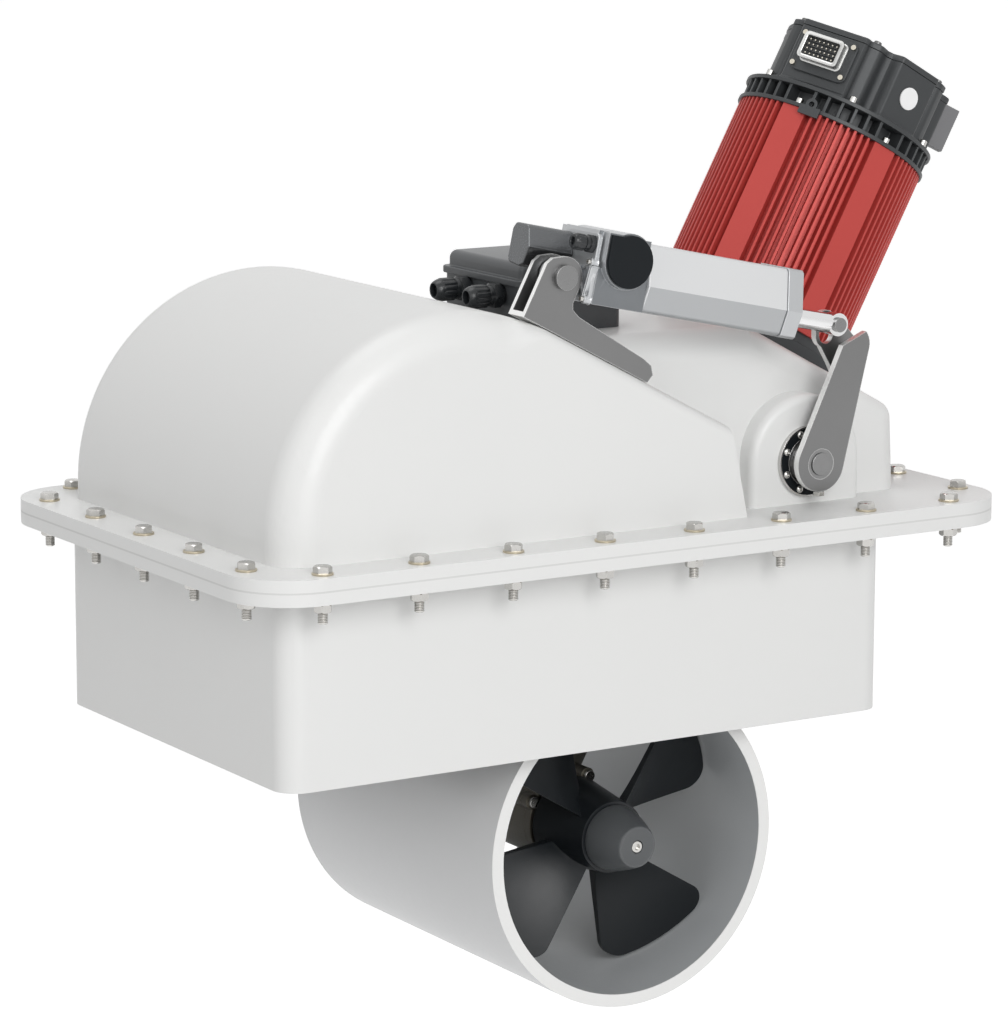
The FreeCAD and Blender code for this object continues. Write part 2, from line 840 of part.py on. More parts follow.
def bearing(side):
    """Flanged bush in the boss wall and the ring cover in its recess."""
    face = size.boss_face
    plate_top = face + size.bearing_plate
    floor = plate_top - size.bearing_recess
    bore = size.swing_shaft_radius + size.running_clearance
    flange = cylinder("bearing_flange", size.bearing_radius, "Y", *across(side, face, plate_top))
    spigot = cylinder("bearing_spigot", size.bearing_spigot, "Y",
                      *across(side, face - size.housing_wall, face + EPS))
    recess = cut("bearing_recess_ring",
                 cylinder("recess_outer", size.cover_outer + size.running_clearance, "Y",
                          *across(side, floor, plate_top + EPS)),
                 [cylinder("recess_inner", size.cover_inner - size.running_clearance, "Y",
                           *across(side, floor - EPS, plate_top + 2 * EPS))])
    holes = [recess, cylinder("bearing_shaft_bore", bore, "Y",
                              *across(side, face - size.housing_wall - EPS, plate_top + EPS))]
    spots = cover_screw_spots()
    grip = face - size.small_screw_grip
    hole = size.small_screw + size.running_clearance
    cover_top = floor + size.cover_plate
    for spot_xz in spots:
        holes.append(cylinder("bearing_screw_bore", hole, "Y", *across(side, grip, plate_top), spot_xz))
    ring = cut("bearing_ring", fused("bearing_ring_solid", [flange, spigot]), holes)

    disc = cylinder("cover_disc", size.cover_outer, "Y", *across(side, floor, cover_top))
    holes = [cylinder("cover_opening", size.cover_inner, "Y", *across(side, floor - EPS, cover_top + EPS))]
    for spot_xz in spots:
        holes.append(cylinder("cover_screw_bore", hole, "Y",
                              *across(side, floor - EPS, cover_top + EPS), spot_xz))
    return ring, cut("bearing_cover", disc, holes)


def bearings():
    near_ring, near_cover = bearing(-1)
    far_ring, far_cover = bearing(1)
    set_of("bearing_rings", [near_ring, far_ring], PIVOT)
    set_of("bearing_covers", [near_cover, far_cover], PIVOT)


def bearing_screws():
    cover_top = size.boss_face + size.bearing_plate - size.bearing_recess + size.cover_plate
    head = size.small_screw * 1.6
    screws = []
    for side in (-1, 1):
        for x, z in cover_screw_spots():
            shank = cylinder("cover_screw_shank", size.small_screw, "Y",
                             *across(side, size.boss_face - size.small_screw_grip, cover_top), (x, z))
            low, high = across(side, cover_top, cover_top + size.small_screw)
            radii = (head * 0.6, head) if side < 0 else (head, head * 0.6)
            top = cone("cover_screw_head", *radii, "Y", low, high, (x, z))
            screws.append(fused("cover_screw", [shank, top]))
    set_of("bearing_screws", screws, PIVOT)


def pivot_shafts():
    """Near shaft with the collar that spaces the lever, far shaft, bolt and clamp screw."""
    radius = size.swing_shaft_radius
    bolt = size.joint_pin
    bearing_face = size.boss_face + size.bearing_plate
    near = [cylinder("near_shaft_bar", radius, "Y", -LEVER_FRONT, -size.swing_shaft_inner),
            cylinder("near_shaft_collar", size.shaft_collar, "Y", -LEVER_BACK,
                     -bearing_face - size.collar_gap)]
    thread = cylinder("pivot_bolt_hole", bolt, "Y", -LEVER_FRONT - EPS, -size.boss_face)
    clamp = cylinder("clamp_hole", bolt / 2, "Z", -radius - EPS, -bolt - 2, (0, -LEVER_MIDDLE))
    node("pivot_shaft_near", near, [thread, clamp], PIVOT)
    far = cylinder("far_shaft_bar", radius, "Y", size.swing_shaft_inner, bearing_face - EPS)
    node("pivot_shaft_far", [far], (), PIVOT)
    head = cylinder("pivot_bolt_head", radius - 3, "Y", -LEVER_FRONT - 1.5, -LEVER_FRONT)
    shank = cylinder("pivot_bolt_shank", bolt - size.running_clearance, "Y",
                     -LEVER_FRONT, -size.boss_face - EPS)
    node("pivot_bolt", [head, shank], (), PIVOT)
    hub = size.lever_hub
    clamp_head = prism("clamp_head", 6, 9, "Z", -hub - 3.5, -hub, (0, -LEVER_MIDDLE))
    clamp_shank = cylinder("clamp_shank", bolt / 2 - size.running_clearance, "Z", -hub, -bolt - 3,
                           (0, -LEVER_MIDDLE))
    node("lever_clamp_screw", [clamp_head, clamp_shank], (), PIVOT)


def lever_arm():
    """Bent plate: front cheek on the shaft, rear cheek round the rod pin, web between them."""
    hub = size.lever_hub
    left_x, left_z = sine(size.lever_left_lean), cosine(size.lever_left_lean)
    right_x, right_z = sine(size.lever_right_lean), cosine(size.lever_right_lean)
    right_foot = (hub * right_z, -hub * right_x)
    left_foot = (-hub * left_z, hub * left_x)
    left_top = (left_foot[0] + size.lever_left_length * left_x,
                left_foot[1] + size.lever_left_length * left_z)
    right_top = (right_foot[0] + size.lever_right_length * right_x,
                 right_foot[1] + size.lever_right_length * right_z)

    def on_right(length, inset):
        return (right_foot[0] + length * right_x - inset * right_z,
                right_foot[1] + length * right_z + inset * right_x)

    cheek = plate("lever_cheek", [(sized(0), sized(0)), right_foot, right_top,
                                  (right_top[0] - 5, right_top[1] + 7), left_top, left_foot],
                  -LEVER_FRONT, -LEVER_BACK)

    def radii(edge):
        point = middle(edge)
        at_top = abs(point.x - float(right_top[0])) + abs(point.z - float(right_top[1])) < EPS
        return (mm.lever_top_round, mm.lever_top_round) if at_top else None

    cheek = rounded("lever_cheek_round", cheek, radii)
    hub_disc = cylinder("lever_hub_disc", hub, "Y", -LEVER_FRONT, -LEVER_BACK)
    pin = (size.rod_pin_x, size.rod_pin_z)
    slot_start = (pin[0] - size.slot_offset, pin[1])
    slot_end = (slot_start[0], pin[1] - size.slot_travel)
    half = size.slot_half_width
    eye = half + size.slot_wall
    rear_low = size.lever_right_length * 0.56
    rear = plate("lever_rear", [(slot_start[0] - eye, slot_start[1]), (slot_end[0] - eye, slot_end[1]),
                                (pin[0] + 2, pin[1] - 34), on_right(rear_low, sized(0)),
                                on_right(size.lever_right_length, sized(0)),
                                (pin[0] + 8, pin[1] + eye - 3)],
                 -REAR_FRONT, -REAR_BACK)
    rear_eyes = [cylinder("lever_rear_eye", eye, "Y", -REAR_FRONT, -REAR_BACK, at)
                 for at in (slot_start, slot_end)]
    web = plate("lever_web", [on_right(rear_low, sized(0)), on_right(size.lever_right_length - 8, sized(0)),
                              on_right(size.lever_right_length - 8, size.lever_plate),
                              on_right(rear_low, size.lever_plate)],
                -LEVER_BACK - EPS, -REAR_FRONT + EPS)
    slot_y = (-REAR_FRONT - EPS, -REAR_BACK + EPS)
    slot = [cylinder("slot_start", half, "Y", *slot_y, slot_start),
            cylinder("slot_end", half, "Y", *slot_y, slot_end),
            block("slot_middle", (slot_end[0] - half, slot_end[0] + half), slot_y,
                  (slot_end[1], slot_start[1]))]
    bore = cylinder("lever_bore", size.swing_shaft_radius + size.running_clearance, "Y",
                    -LEVER_FRONT - EPS, -LEVER_BACK + EPS)
    clamp = cylinder("lever_clamp_hole", size.joint_pin / 2, "Z", -hub - EPS, 0, (0, -LEVER_MIDDLE))
    node("lever_arm", [cheek, hub_disc, rear, web] + rear_eyes, [bore, clamp] + slot, PIVOT)


# Clevis bracket on the roof

def actuator_bracket():
    front = BRACKET_FRONT
    back = front - size.bracket_width
    thick = size.bracket_plate
    foot = sized(0.3)
    pin = (size.clevis_along, size.clevis_height)
    heel = -size.bracket_heel
    pieces = []
    outline = [(heel, foot), (size.bracket_reach, foot), (size.bracket_reach + 2, 8),
               (size.bracket_reach - 3, 14), (92, 16), (20, 20.8), (12, 23.5), (9.5, 28),
               (pin[0] + size.clevis_round, pin[1]), pin, (pin[0] - 8, pin[1] + size.clevis_round - 2),
               (heel + 3, pin[1] + 9), (heel, pin[1] + 3)]
    for name, outer in (("bracket_front_cheek", front), ("bracket_rear_cheek", back + thick)):
        pieces.append(plate(name, outline, -outer, -outer + thick))
        pieces.append(cylinder(name + "_eye", size.clevis_round, "Y", -outer, -outer + thick, pin))
    pieces.append(block("bracket_web", (heel, size.bracket_reach), (-front, -back), (foot, foot + thick)))
    bore = size.clevis_pin_radius + size.running_clearance
    holes = [cylinder("clevis_bore", bore, "Y", -front - EPS, -back + EPS, pin)]
    spots = bracket_spots()
    for spot_xy in spots:
        holes.append(cylinder("bracket_screw_hole", size.roof_screw + size.running_clearance, "Z",
                              0, foot + thick + EPS, spot_xy))
    node("actuator_bracket", pieces, holes, ROOF)
    screws = []
    for spot_xy in spots:
        head = prism("bracket_screw_head", 6, 8, "Z", foot + thick, foot + thick + 3.5, spot_xy)
        shank = cylinder("bracket_screw_shank", size.roof_screw, "Z", -size.housing_wall + 1,
                         foot + thick, spot_xy)
        screws.append(fused("bracket_screw", [head, shank]))
    set_of("bracket_screws", screws, ROOF)
    head = cylinder("clevis_pin_head", size.clevis_pin_radius + 2, "Y", -front - 4, -front)
    shank = cylinder("clevis_pin_shank", size.clevis_pin_radius, "Y", -front, -back + 3)
    clip = cylinder("clevis_pin_clip", size.clevis_pin_radius + 2, "Y", -back + 0.5, -back + 2.5)
    node("clevis_pin", [head, shank, clip], (), ROD)


# Linear actuator

def tube_outline(grow):
    """Cross section of the actuator tube: upper and lower front facets, flat back."""
    front = -TUBE_FRONT - grow
    back = -TUBE_BACK + grow
    top = size.tube_top + grow
    floor = -size.tube_floor - grow
    return [(back, floor), (front + 7, floor), (front + 4.5, floor + 2), (front, 4.5),
            (front + 8.5, top - 2), (front + 11, top), (back + 3, top), (back, top - 3)]


def actuator_tube():
    start = size.tube_start
    end = size.tube_end
    plane = -ROD_PLANE
    shell = bar("tube_profile", tube_outline(sized(0)), start, end)
    bore = size.rod_radius + 2
    holes = [cylinder("tube_bore", bore, "X", start + 8, end + EPS, (plane, 0)),
             block("tube_slot", (start - EPS, end + EPS), (-TUBE_BACK - 2, -TUBE_BACK + EPS),
                   (8, 14))]
    node("actuator_tube", [shell], holes, ROD)
    cap = bar("end_cap_profile", tube_outline(sized(1)), end, end + size.end_cap_length)
    wiper = size.rod_radius + size.running_clearance
    node("actuator_end_cap", [cap],
         [cylinder("end_cap_bore", wiper, "X", end - EPS, end + size.end_cap_length + EPS, (plane, 0))], ROD)


def gear_boss_shape(name, radius, start, end):
    """Round boss across the gear case with a square corner at its top left."""
    centre = (size.gear_boss_x, size.gear_boss_z)
    return [cylinder(name, radius, "Y", start, end, centre),
            block(name + "_corner", (centre[0] - radius, centre[0]), (start, end),
                  (centre[1], centre[1] + radius * 0.9))]


def actuator_gearbox():
    """Cast gear case with a tang on the clevis pin and a boss across it."""
    start = size.gear_case_start
    half_eye = size.eye_width / 2
    tang_y = (-ROD_PLANE - half_eye, -ROD_PLANE + half_eye)
    eye = size.tang_eye
    pieces = [cylinder("tang_eye", eye, "Y", *tang_y),
              block("tang_bar", (0, start + EPS), tang_y, (-eye + 1, eye - 1)),
              block("case_lower", (start, size.tube_start), (-TUBE_FRONT + 3, -TUBE_BACK - 1),
                    (-size.tube_floor, 12)),
              block("case_upper", (start + 6, size.tube_start), (-TUBE_FRONT + 8, -TUBE_BACK + 4),
                    (10, size.tube_top + 2)),
              block("case_end_plate", (start - 3, start + 7), (-TUBE_FRONT + 6, -TUBE_BACK + 8),
                    (0, size.tube_top + 4))]
    pieces += gear_boss_shape("gear_boss", size.gear_boss_radius, -ROD_PLANE - size.gear_boss_front_reach,
                              -ROD_PLANE + size.gear_boss_back_reach)
    for height in (-10, 0, 9):
        pieces.append(block("case_rib", (start - 5, start + EPS),
                            (-TUBE_FRONT + 5, -TUBE_FRONT + 9 + height / 3), (height, height + 3)))
    bore = size.clevis_pin_radius + size.running_clearance
    holes = [cylinder("tang_bore", bore, "Y", tang_y[0] - EPS, tang_y[1] + EPS)]
    node("actuator_gearbox", pieces, holes, ROD)


def actuator_trim():
    """Flat black cap on the boss, and the small motor behind the gear case."""
    front = -ROD_PLANE - size.gear_boss_front_reach
    node("actuator_cap", gear_boss_shape("boss_cap", size.gear_boss_radius - 1.5, front - 3, front),
         (), ROD)
    end = size.gear_case_start - 3
    front = -ROD_PLANE + size.small_motor_front_reach
    back = -ROD_PLANE + size.small_motor_back_reach
    top = size.small_motor_top
    floor = size.small_motor_floor
    ridge = (top + floor) / 2
    barrel = bar("small_motor_bar", [
        (back - 2, floor + 2), (back, floor + 6), (back, top - 5), (back - 4, top), (front + 8, top),
        (front + 5, top - 2), (front, ridge), (front + 5, floor + 2), (front + 10, floor)],
        end - size.small_motor_length, end)
    node("actuator_motor", [barrel], (), ROD)


def actuator_gland():
    start = size.gear_case_start - 3
    line = (-ROD_PLANE - 10, size.tube_top - 8)
    nut = prism("gland_nut", 6, 14, "X", start - 6, start, line)
    body = cylinder("gland_body", 6, "X", start - 13, start - 6, line)
    dome = cone("gland_dome", 5.5, 7, "X", start - 19, start - 13, line)
    hole = cylinder("gland_hole", 3, "X", start - 20, start - 8, line)
    node("actuator_gland", [nut, body, dome], [hole], ROD)


def actuator_screws():
    """Socket screws in the gear case end plate and the end cap."""
    screws = []
    start = size.gear_case_start - 3
    radius = size.roof_screw
    for y, z in ((-TUBE_FRONT + 9, 17), (-ROD_PLANE + 2, 18)):
        screws.append(cylinder("case_screw", radius, "X", start - 3, start, (y, z)))
    screws.append(cylinder("case_screw", radius, "X", start, start + 3, (-TUBE_FRONT + 11, -12)))
    end = size.tube_end + size.end_cap_length
    for y, z in ((-TUBE_FRONT + 9, -8), (-TUBE_BACK - 6, -10), (-TUBE_BACK - 6, 30)):
        screws.append(cylinder("cap_screw", radius, "X", end, end + radius, (y, z)))
    set_of("actuator_screws", screws, ROD)


def actuator_rod():
    plane = ROD_PLANE
    half_eye = size.eye_width / 2
    eye_y = (-plane - half_eye, -plane + half_eye)
    bar_end = ROD_LENGTH - size.rod_eye + 2
    rod = cylinder("rod_bar", size.rod_radius, "X", size.rod_back, bar_end, (-plane, 0))
    eye = cylinder("rod_eye", size.rod_eye, "Y", *eye_y, (ROD_LENGTH, 0))
    bore = size.rod_pin_radius + size.running_clearance
    node("actuator_rod", [rod, eye],
         [cylinder("rod_eye_bore", bore, "Y", eye_y[0] - EPS, eye_y[1] + EPS, (ROD_LENGTH, 0))], ROD)
    at = (ROD_LENGTH, 0)
    head = cylinder("rod_pin_head", size.rod_pin_radius + EPS, "Y", eye_y[0] - 3, eye_y[0], at)
    shank = cylinder("rod_pin_shank", size.rod_pin_radius, "Y", eye_y[0], -REAR_BACK + 3.5, at)
    clip = cylinder("rod_pin_clip", size.slot_half_width + 2, "Y", -REAR_BACK + 0.5, -REAR_BACK + 3, at)
    node("rod_pin", [head, shank, clip], (), ROD)


# Tilted motor, heights measured from the pivot along the motor axis

FOOT_TOP = size.mount_face + size.foot_plate
BELL_TOP = FOOT_TOP + size.bell_height
BODY_TOP = BELL_TOP + size.motor_body_height
RING_TOP = BODY_TOP + size.vent_ring_plate
VENT_TOP = RING_TOP + size.vent_gap
CAP_FOOT = VENT_TOP + size.vent_ring_plate
CAP_TOP = CAP_FOOT + size.cap_height
LID_TOP = CAP_TOP + size.lid_plate


def drive_bore(low, high, clearance):
    return cylinder("drive_bore", size.swing_shaft_radius + clearance, "Z", low - EPS, high + EPS)


def motor_mount():
    half = size.foot_half_width
    slab = block("foot_slab", (-half, half), (-half, half), (size.mount_face, FOOT_TOP))
    slab = corner_rounds("foot_slab_round", slab, Vector(0, 0, 1), mm.foot_corner)
    spots = foot_spots()
    pockets = [cylinder("foot_pocket", 8, "Z", FOOT_TOP - 7, FOOT_TOP + EPS, at) for at in spots]
    bores = [cylinder("foot_bore", size.bolt_radius + size.running_clearance, "Z",
                      size.mount_face - EPS, FOOT_TOP, at) for at in spots]
    opening = cylinder("foot_opening", size.drive_hole - 10, "Z", size.mount_face - EPS, FOOT_TOP + EPS)
    node("motor_foot", [slab], pockets + bores + [opening], LEG)
    screws = []
    for at in spots:
        head = cylinder("foot_screw_head", 6.5, "Z", FOOT_TOP - 7, FOOT_TOP + 1, at)
        shank = cylinder("foot_screw_shank", size.bolt_radius, "Z",
                         size.mount_face - size.housing_wall + 1, FOOT_TOP - 7, at)
        screws.append(fused("foot_screw", [head, shank]))
    set_of("motor_foot_screws", screws, LEG)
    bell = [cylinder("bell_disc", size.bell_radius, "Z", FOOT_TOP, BELL_TOP)]
    node("motor_lower_bell", bell, [drive_bore(FOOT_TOP, BELL_TOP, size.running_clearance)] +
         [cylinder("bell_relief", 7.5, "Z", FOOT_TOP - EPS, FOOT_TOP + 2, at) for at in spots], LEG)


def fin_outline():
    """Outline of the finned body: six flat ribs with a row of slim fins between each pair."""
    tip = mm.motor_fin_tip
    root_radius = mm.motor_core
    half_rib = math.degrees(math.asin(mm.rib_width / 2 / tip))
    fins = int(mm.fins_per_sector)
    sector = 60.0
    step = (sector - 2 * half_rib) / (fins + 1)
    points = []

    def add(radius, angle):
        turn = math.radians(angle)
        points.append(Vector(radius * math.cos(turn), radius * math.sin(turn), 0))

    for number in range(6):
        centre = -32 - sector * number
        add(root_radius, centre + half_rib + 0.4)
        add(tip, centre + half_rib)
        add(tip, centre - half_rib)
        add(root_radius, centre - half_rib - 0.4)
        for fin in range(1, fins + 1):
            at = centre - half_rib - fin * step
            add(root_radius, at + step * 0.26)
            add(tip, at + step * 0.16)
            add(tip, at - step * 0.16)
            add(root_radius, at - step * 0.26)
    return points


def motor_body():
    """Finned body, open along its middle for the shaft."""
    doc.recompute()
    body = doc.addObject("Part::Feature", "finned_bar")
    bar_shape = Part.Face(Part.makePolygon(fin_outline() + fin_outline()[:1])).extrude(
        Vector(0, 0, mm.motor_body_height))
    bar_shape.translate(Vector(0, 0, float(BELL_TOP)))
    body.Shape = bar_shape
    bore = drive_bore(BELL_TOP, BODY_TOP, sized(6))
    node("motor_body", [body], [bore], LEG)


def motor_fin_ring():
    """Two black rings joined by short blades in six groups, with room for a screw between."""
    inner = size.cap_radius - 6
    lower = cylinder("vent_ring_lower", size.vent_ring_radius, "Z", BODY_TOP, RING_TOP)
    upper = cylinder("vent_ring_upper", size.vent_ring_radius, "Z", VENT_TOP, CAP_FOOT)
    drum = cylinder("vent_drum", inner, "Z", BODY_TOP, CAP_FOOT)
    pieces = [lower, upper, drum]
    per_group = int(mm.vent_blades_per_group)
    for number in range(6 * per_group):
        group, place = divmod(number, per_group)
        angle = 60.0 * group + 60.0 * (place + 1) / (per_group + 1) - 32
        blade = block("vent_blade", (inner - EPS, size.vent_ring_radius - 2), (-1.4, 1.4),
                      (RING_TOP - EPS, VENT_TOP + EPS))
        turn = doc.addObject("Part::Compound", "vent_blade_turned")
        turn.Links = [blade]
        turn.Placement = Placement(Vector(), Rotation(Vector(0, 0, 1), angle))
        pieces.append(turn)
    node("motor_fin_ring", pieces, [drive_bore(BODY_TOP, CAP_FOOT, sized(6))], LEG)


def side_feature(name, angle, pieces):
    """Pieces built pointing along local X, turned to face an angle round the motor."""
    whole = fused(name + "_upright", pieces)
    turn = doc.addObject("Part::Compound", name)
    turn.Links = [whole]
    turn.Placement = Placement(Vector(), Rotation(Vector(0, 0, 1), -angle))
    return turn


def lobe_turns():
    count = int(mm.cap_lobes)
    return [mm.cap_lobe_turn + 360.0 * number / count for number in range(count)]


def lobed(name, low, high, drum, lobe_radius, flat_face, narrower):
    """Drum with a lobe for each screw and four flat pads."""
    pieces = [cylinder(name + "_drum", drum, "Z", low, high)]
    for turn in lobe_turns():
        lobe = cylinder(name + "_lobe", lobe_radius, "Z", low, high, (size.cap_radius - 4, 0))
        pieces.append(side_feature(name + "_lobe_turned", turn, [lobe]))
    for turn, width in ((mm.connector_turn, 62), (mm.disc_turn, 44), (mm.terminal_turn, 40), (-90, 60)):
        half = (width - narrower) / 2
        flat = block(name + "_flat", (size.cap_radius - 40, flat_face), (-half, half), (low, high))
        pieces.append(side_feature(name + "_flat_turned", turn, [flat]))
    return pieces


CAP_FACE = size.cap_radius + 2.5
CONNECTOR_MIDDLE = CAP_FOOT + 32


def motor_cap():
    """Lobed electronics housing with a raised pad for the connector, and its lid."""
    radius = size.cap_radius
    pieces = lobed("cap", CAP_FOOT, CAP_TOP, radius - 2, size.cap_lobe_radius, CAP_FACE, 0)
    pad = block("connector_pad", (CAP_FACE - EPS, CAP_FACE + 2.5), (-27, 27),
                (CONNECTOR_MIDDLE - 22, CONNECTOR_MIDDLE + 16))
    pieces.append(side_feature("connector_pad_turned", mm.connector_turn, [pad]))
    holes = [cylinder("cap_hollow", radius - 14, "Z", CAP_FOOT - EPS, CAP_TOP - 12)]
    node("motor_cap", pieces, holes, LEG)
    lid = lobed("lid", CAP_TOP, LID_TOP, radius - 1, size.cap_lobe_radius + 1.5, CAP_FACE - EPS, 2)
    node("motor_lid", lid, (), LEG)


def motor_screws():
    """Cap screws on both rings and on the lid."""
    screws = []
    half_step = 180.0 / mm.cap_lobes
    for turn in lobe_turns():
        for angle, foot, radius in ((turn - half_step, RING_TOP, 80), (turn, CAP_FOOT, 82.7)):
            head = cylinder("ring_screw", 3.2, "Z", foot, foot + 5, (radius, 0))
            screws.append(side_feature("ring_screw_turned", angle, [head]))
    set_of("motor_ring_screws", screws, LEG)
    screws = []
    for turn in lobe_turns():
        head = cylinder("lid_screw", 3.4, "Z", LID_TOP, LID_TOP + 3, (size.cap_radius - 3, 0))
        screws.append(side_feature("lid_screw_turned", turn, [head]))
    set_of("lid_screws", screws, LEG)


def motor_connector():
    """Rectangular signal connector on its pad, with a grid of pins inside the shell."""
    face = CAP_FACE + 2.5
    centre = CONNECTOR_MIDDLE
    outer = block("connector_outer", (face, face + 11.5), (-19, 19), (centre - 13, centre + 11))
    inner = block("connector_inner", (face + 2.5, face + 12.5), (-16.5, 16.5),
                  (centre - 10.5, centre + 8.5))
    shell = cut("connector_shell", outer, [inner])
    node("motor_connector", [side_feature("connector_turned", mm.connector_turn, [shell])], (), LEG)
    pins = []
    for column in range(7):
        for line in range(4):
            at = (-12.6 + 4.2 * column, centre - 7.5 + 4.2 * line)
            pins.append(cylinder("connector_pin", 0.6, "X", face + 2.5, face + 9.5, at))
    for y, z in ((-23.5, -17), (23.5, -17), (-23.5, 11), (23.5, 11)):
        pins.append(cylinder("connector_screw", 2.2, "X", face, face + 2.5, (y, centre + z)))
    group = doc.addObject("Part::Compound", "connector_pins_upright")
    group.Links = pins
    turned_pins = doc.addObject("Part::Compound", "connector_pins_turned")
    turned_pins.Links = [group]
    turned_pins.Placement = Placement(Vector(), Rotation(Vector(0, 0, 1), -mm.connector_turn))
    set_of("connector_pins", [turned_pins], LEG)


def motor_trim():
    """Plain white disc, terminal plate and lifting eye round the cap."""
    face = CAP_FACE
    disc = cylinder("white_disc", 9.5, "X", face, face + 1.2, (0, CAP_FOOT + 27))
    node("motor_blank_disc", [side_feature("white_disc_turned", mm.disc_turn, [disc])], (), LEG)
    plate_block = block("terminal_block", (face, face + 18), (-4, 4), (CAP_FOOT + 15, LID_TOP - 2))
    node("motor_terminal_plate", [side_feature("terminal_turned", mm.terminal_turn, [plate_block])], (), LEG)
    radius = size.vent_ring_radius
    tongue = block("eyelet_tongue", (radius - 6, radius + 3), (-9, 9), (BODY_TOP - 5, BODY_TOP + 3))
    eye = cylinder("eyelet_eye", 5, "X", radius - 1, radius + 3, (0, BODY_TOP + 5))
    hole = cylinder("eyelet_hole", 2.4, "X", radius - 2, radius + 4, (0, BODY_TOP + 5))
    body = cylinder("eyelet_clearance", radius + 0.02, "Z", BODY_TOP - 20, BODY_TOP + 20)
    lug = cut("eyelet_lug_shape", fused("eyelet_solid", [tongue, eye]), [hole, body])
    node("motor_eyelet_lug", [side_feature("eyelet_turned", mm.eyelet_turn, [lug])], (), LEG)


# Drive joint on the pivot and the bevel drive in the gear leg

def yoke(name, direction, ear_axis):
    """Two ears on a disc: direction is +1 above the cross, -1 below it."""
    ear = size.joint_ear
    inner = size.joint_radius - ear
    reach = size.joint_reach
    low, high = (-8, reach + EPS) if direction > 0 else (-reach - EPS, 8)
    pieces = []
    for side in (-1, 1):
        span = across(side, inner, size.joint_radius)
        sides = {"Y": ((-8, 8), span), "X": (span, (-8, 8))}[ear_axis]
        pieces.append(block(name + "_ear", *sides, (low, high)))
    near, far = (reach, reach + 12) if direction > 0 else (-reach - 12, -reach)
    pieces.append(cylinder(name + "_disc", size.joint_radius + 3, "Z", near, far))
    bore = size.joint_pin + size.running_clearance
    hole = cylinder(name + "_bore", bore, ear_axis, -size.joint_radius - EPS, size.joint_radius + EPS)
    return pieces, hole


def drive_line():
    pieces, hole = yoke("upper_yoke", 1, "Y")
    pieces.append(cylinder("rotor_shaft", size.swing_shaft_radius, "Z", size.joint_reach + EPS,
                           BODY_TOP - 20))
    node("motor_shaft", pieces, [hole], LEG)
    reach = size.joint_radius
    node("joint_cross", [cylinder("cross_pin_y", size.joint_pin, "Y", -reach, reach),
                         cylinder("cross_pin_x", size.joint_pin, "X", -reach, reach)], (), LEG)
    pieces, hole = yoke("lower_yoke", -1, "X")
    apex = -size.leg_length
    pieces.append(cylinder("leg_shaft_bar", size.shaft_radius, "Z", apex + size.wheel_radius,
                           -size.joint_reach - EPS))
    node("leg_shaft", pieces, [hole], LEG)


def bevel_gears():
    """Plain bevel blanks whose cones meet at the tunnel centre, with a running gap."""
    small = size.pinion_radius
    large = size.wheel_radius
    face = size.gear_face
    apex = -size.leg_length
    share = (large - face) / large
    pinion = cone("pinion_cone", small * share, small, "Z", apex + large - face, apex + large)
    hub = cylinder("pinion_hub", small - 1, "Z", apex + large, apex + large + 8)
    node("bevel_pinion", [pinion, hub],
         [cylinder("pinion_bore", size.shaft_radius + size.running_clearance, "Z", apex + large, apex + large + 9)], LEG)
    gap = size.gear_gap
    wheel = cone("wheel_cone", large * (small - face * 0.75) / small, large, "Y",
                 small - face * 0.75 + gap, small + gap)
    back = cylinder("wheel_back", large - 1, "Y", small + gap, small + gap + 7)
    node("bevel_wheel", [wheel, back],
         [cylinder("wheel_bore", size.shaft_radius + size.running_clearance, "Y", 0, small + gap + 8)], TUNNEL)


# Swinging tunnel, cradle and gear leg

def tunnel():
    bore = size.tunnel_bore / 2
    half = size.tunnel_length / 2
    outer = bore + size.tunnel_wall
    shell = cylinder("tunnel_outer", outer, "Y", -half, half)
    holes = [cylinder("tunnel_inner", bore, "Y", -half - EPS, half + EPS),
             cylinder("tunnel_leg_hole", size.leg_tube + size.bolt_clearance, "Z", bore / 2, outer + EPS)]
    for spot_xy in circle_spots(4, size.leg_tube + 8, 45):
        holes.append(cylinder("tunnel_screw_hole", size.bolt_radius + size.running_clearance, "Z",
                              bore - 4, outer + EPS, spot_xy))
    node("tunnel", [shell], holes, TUNNEL)


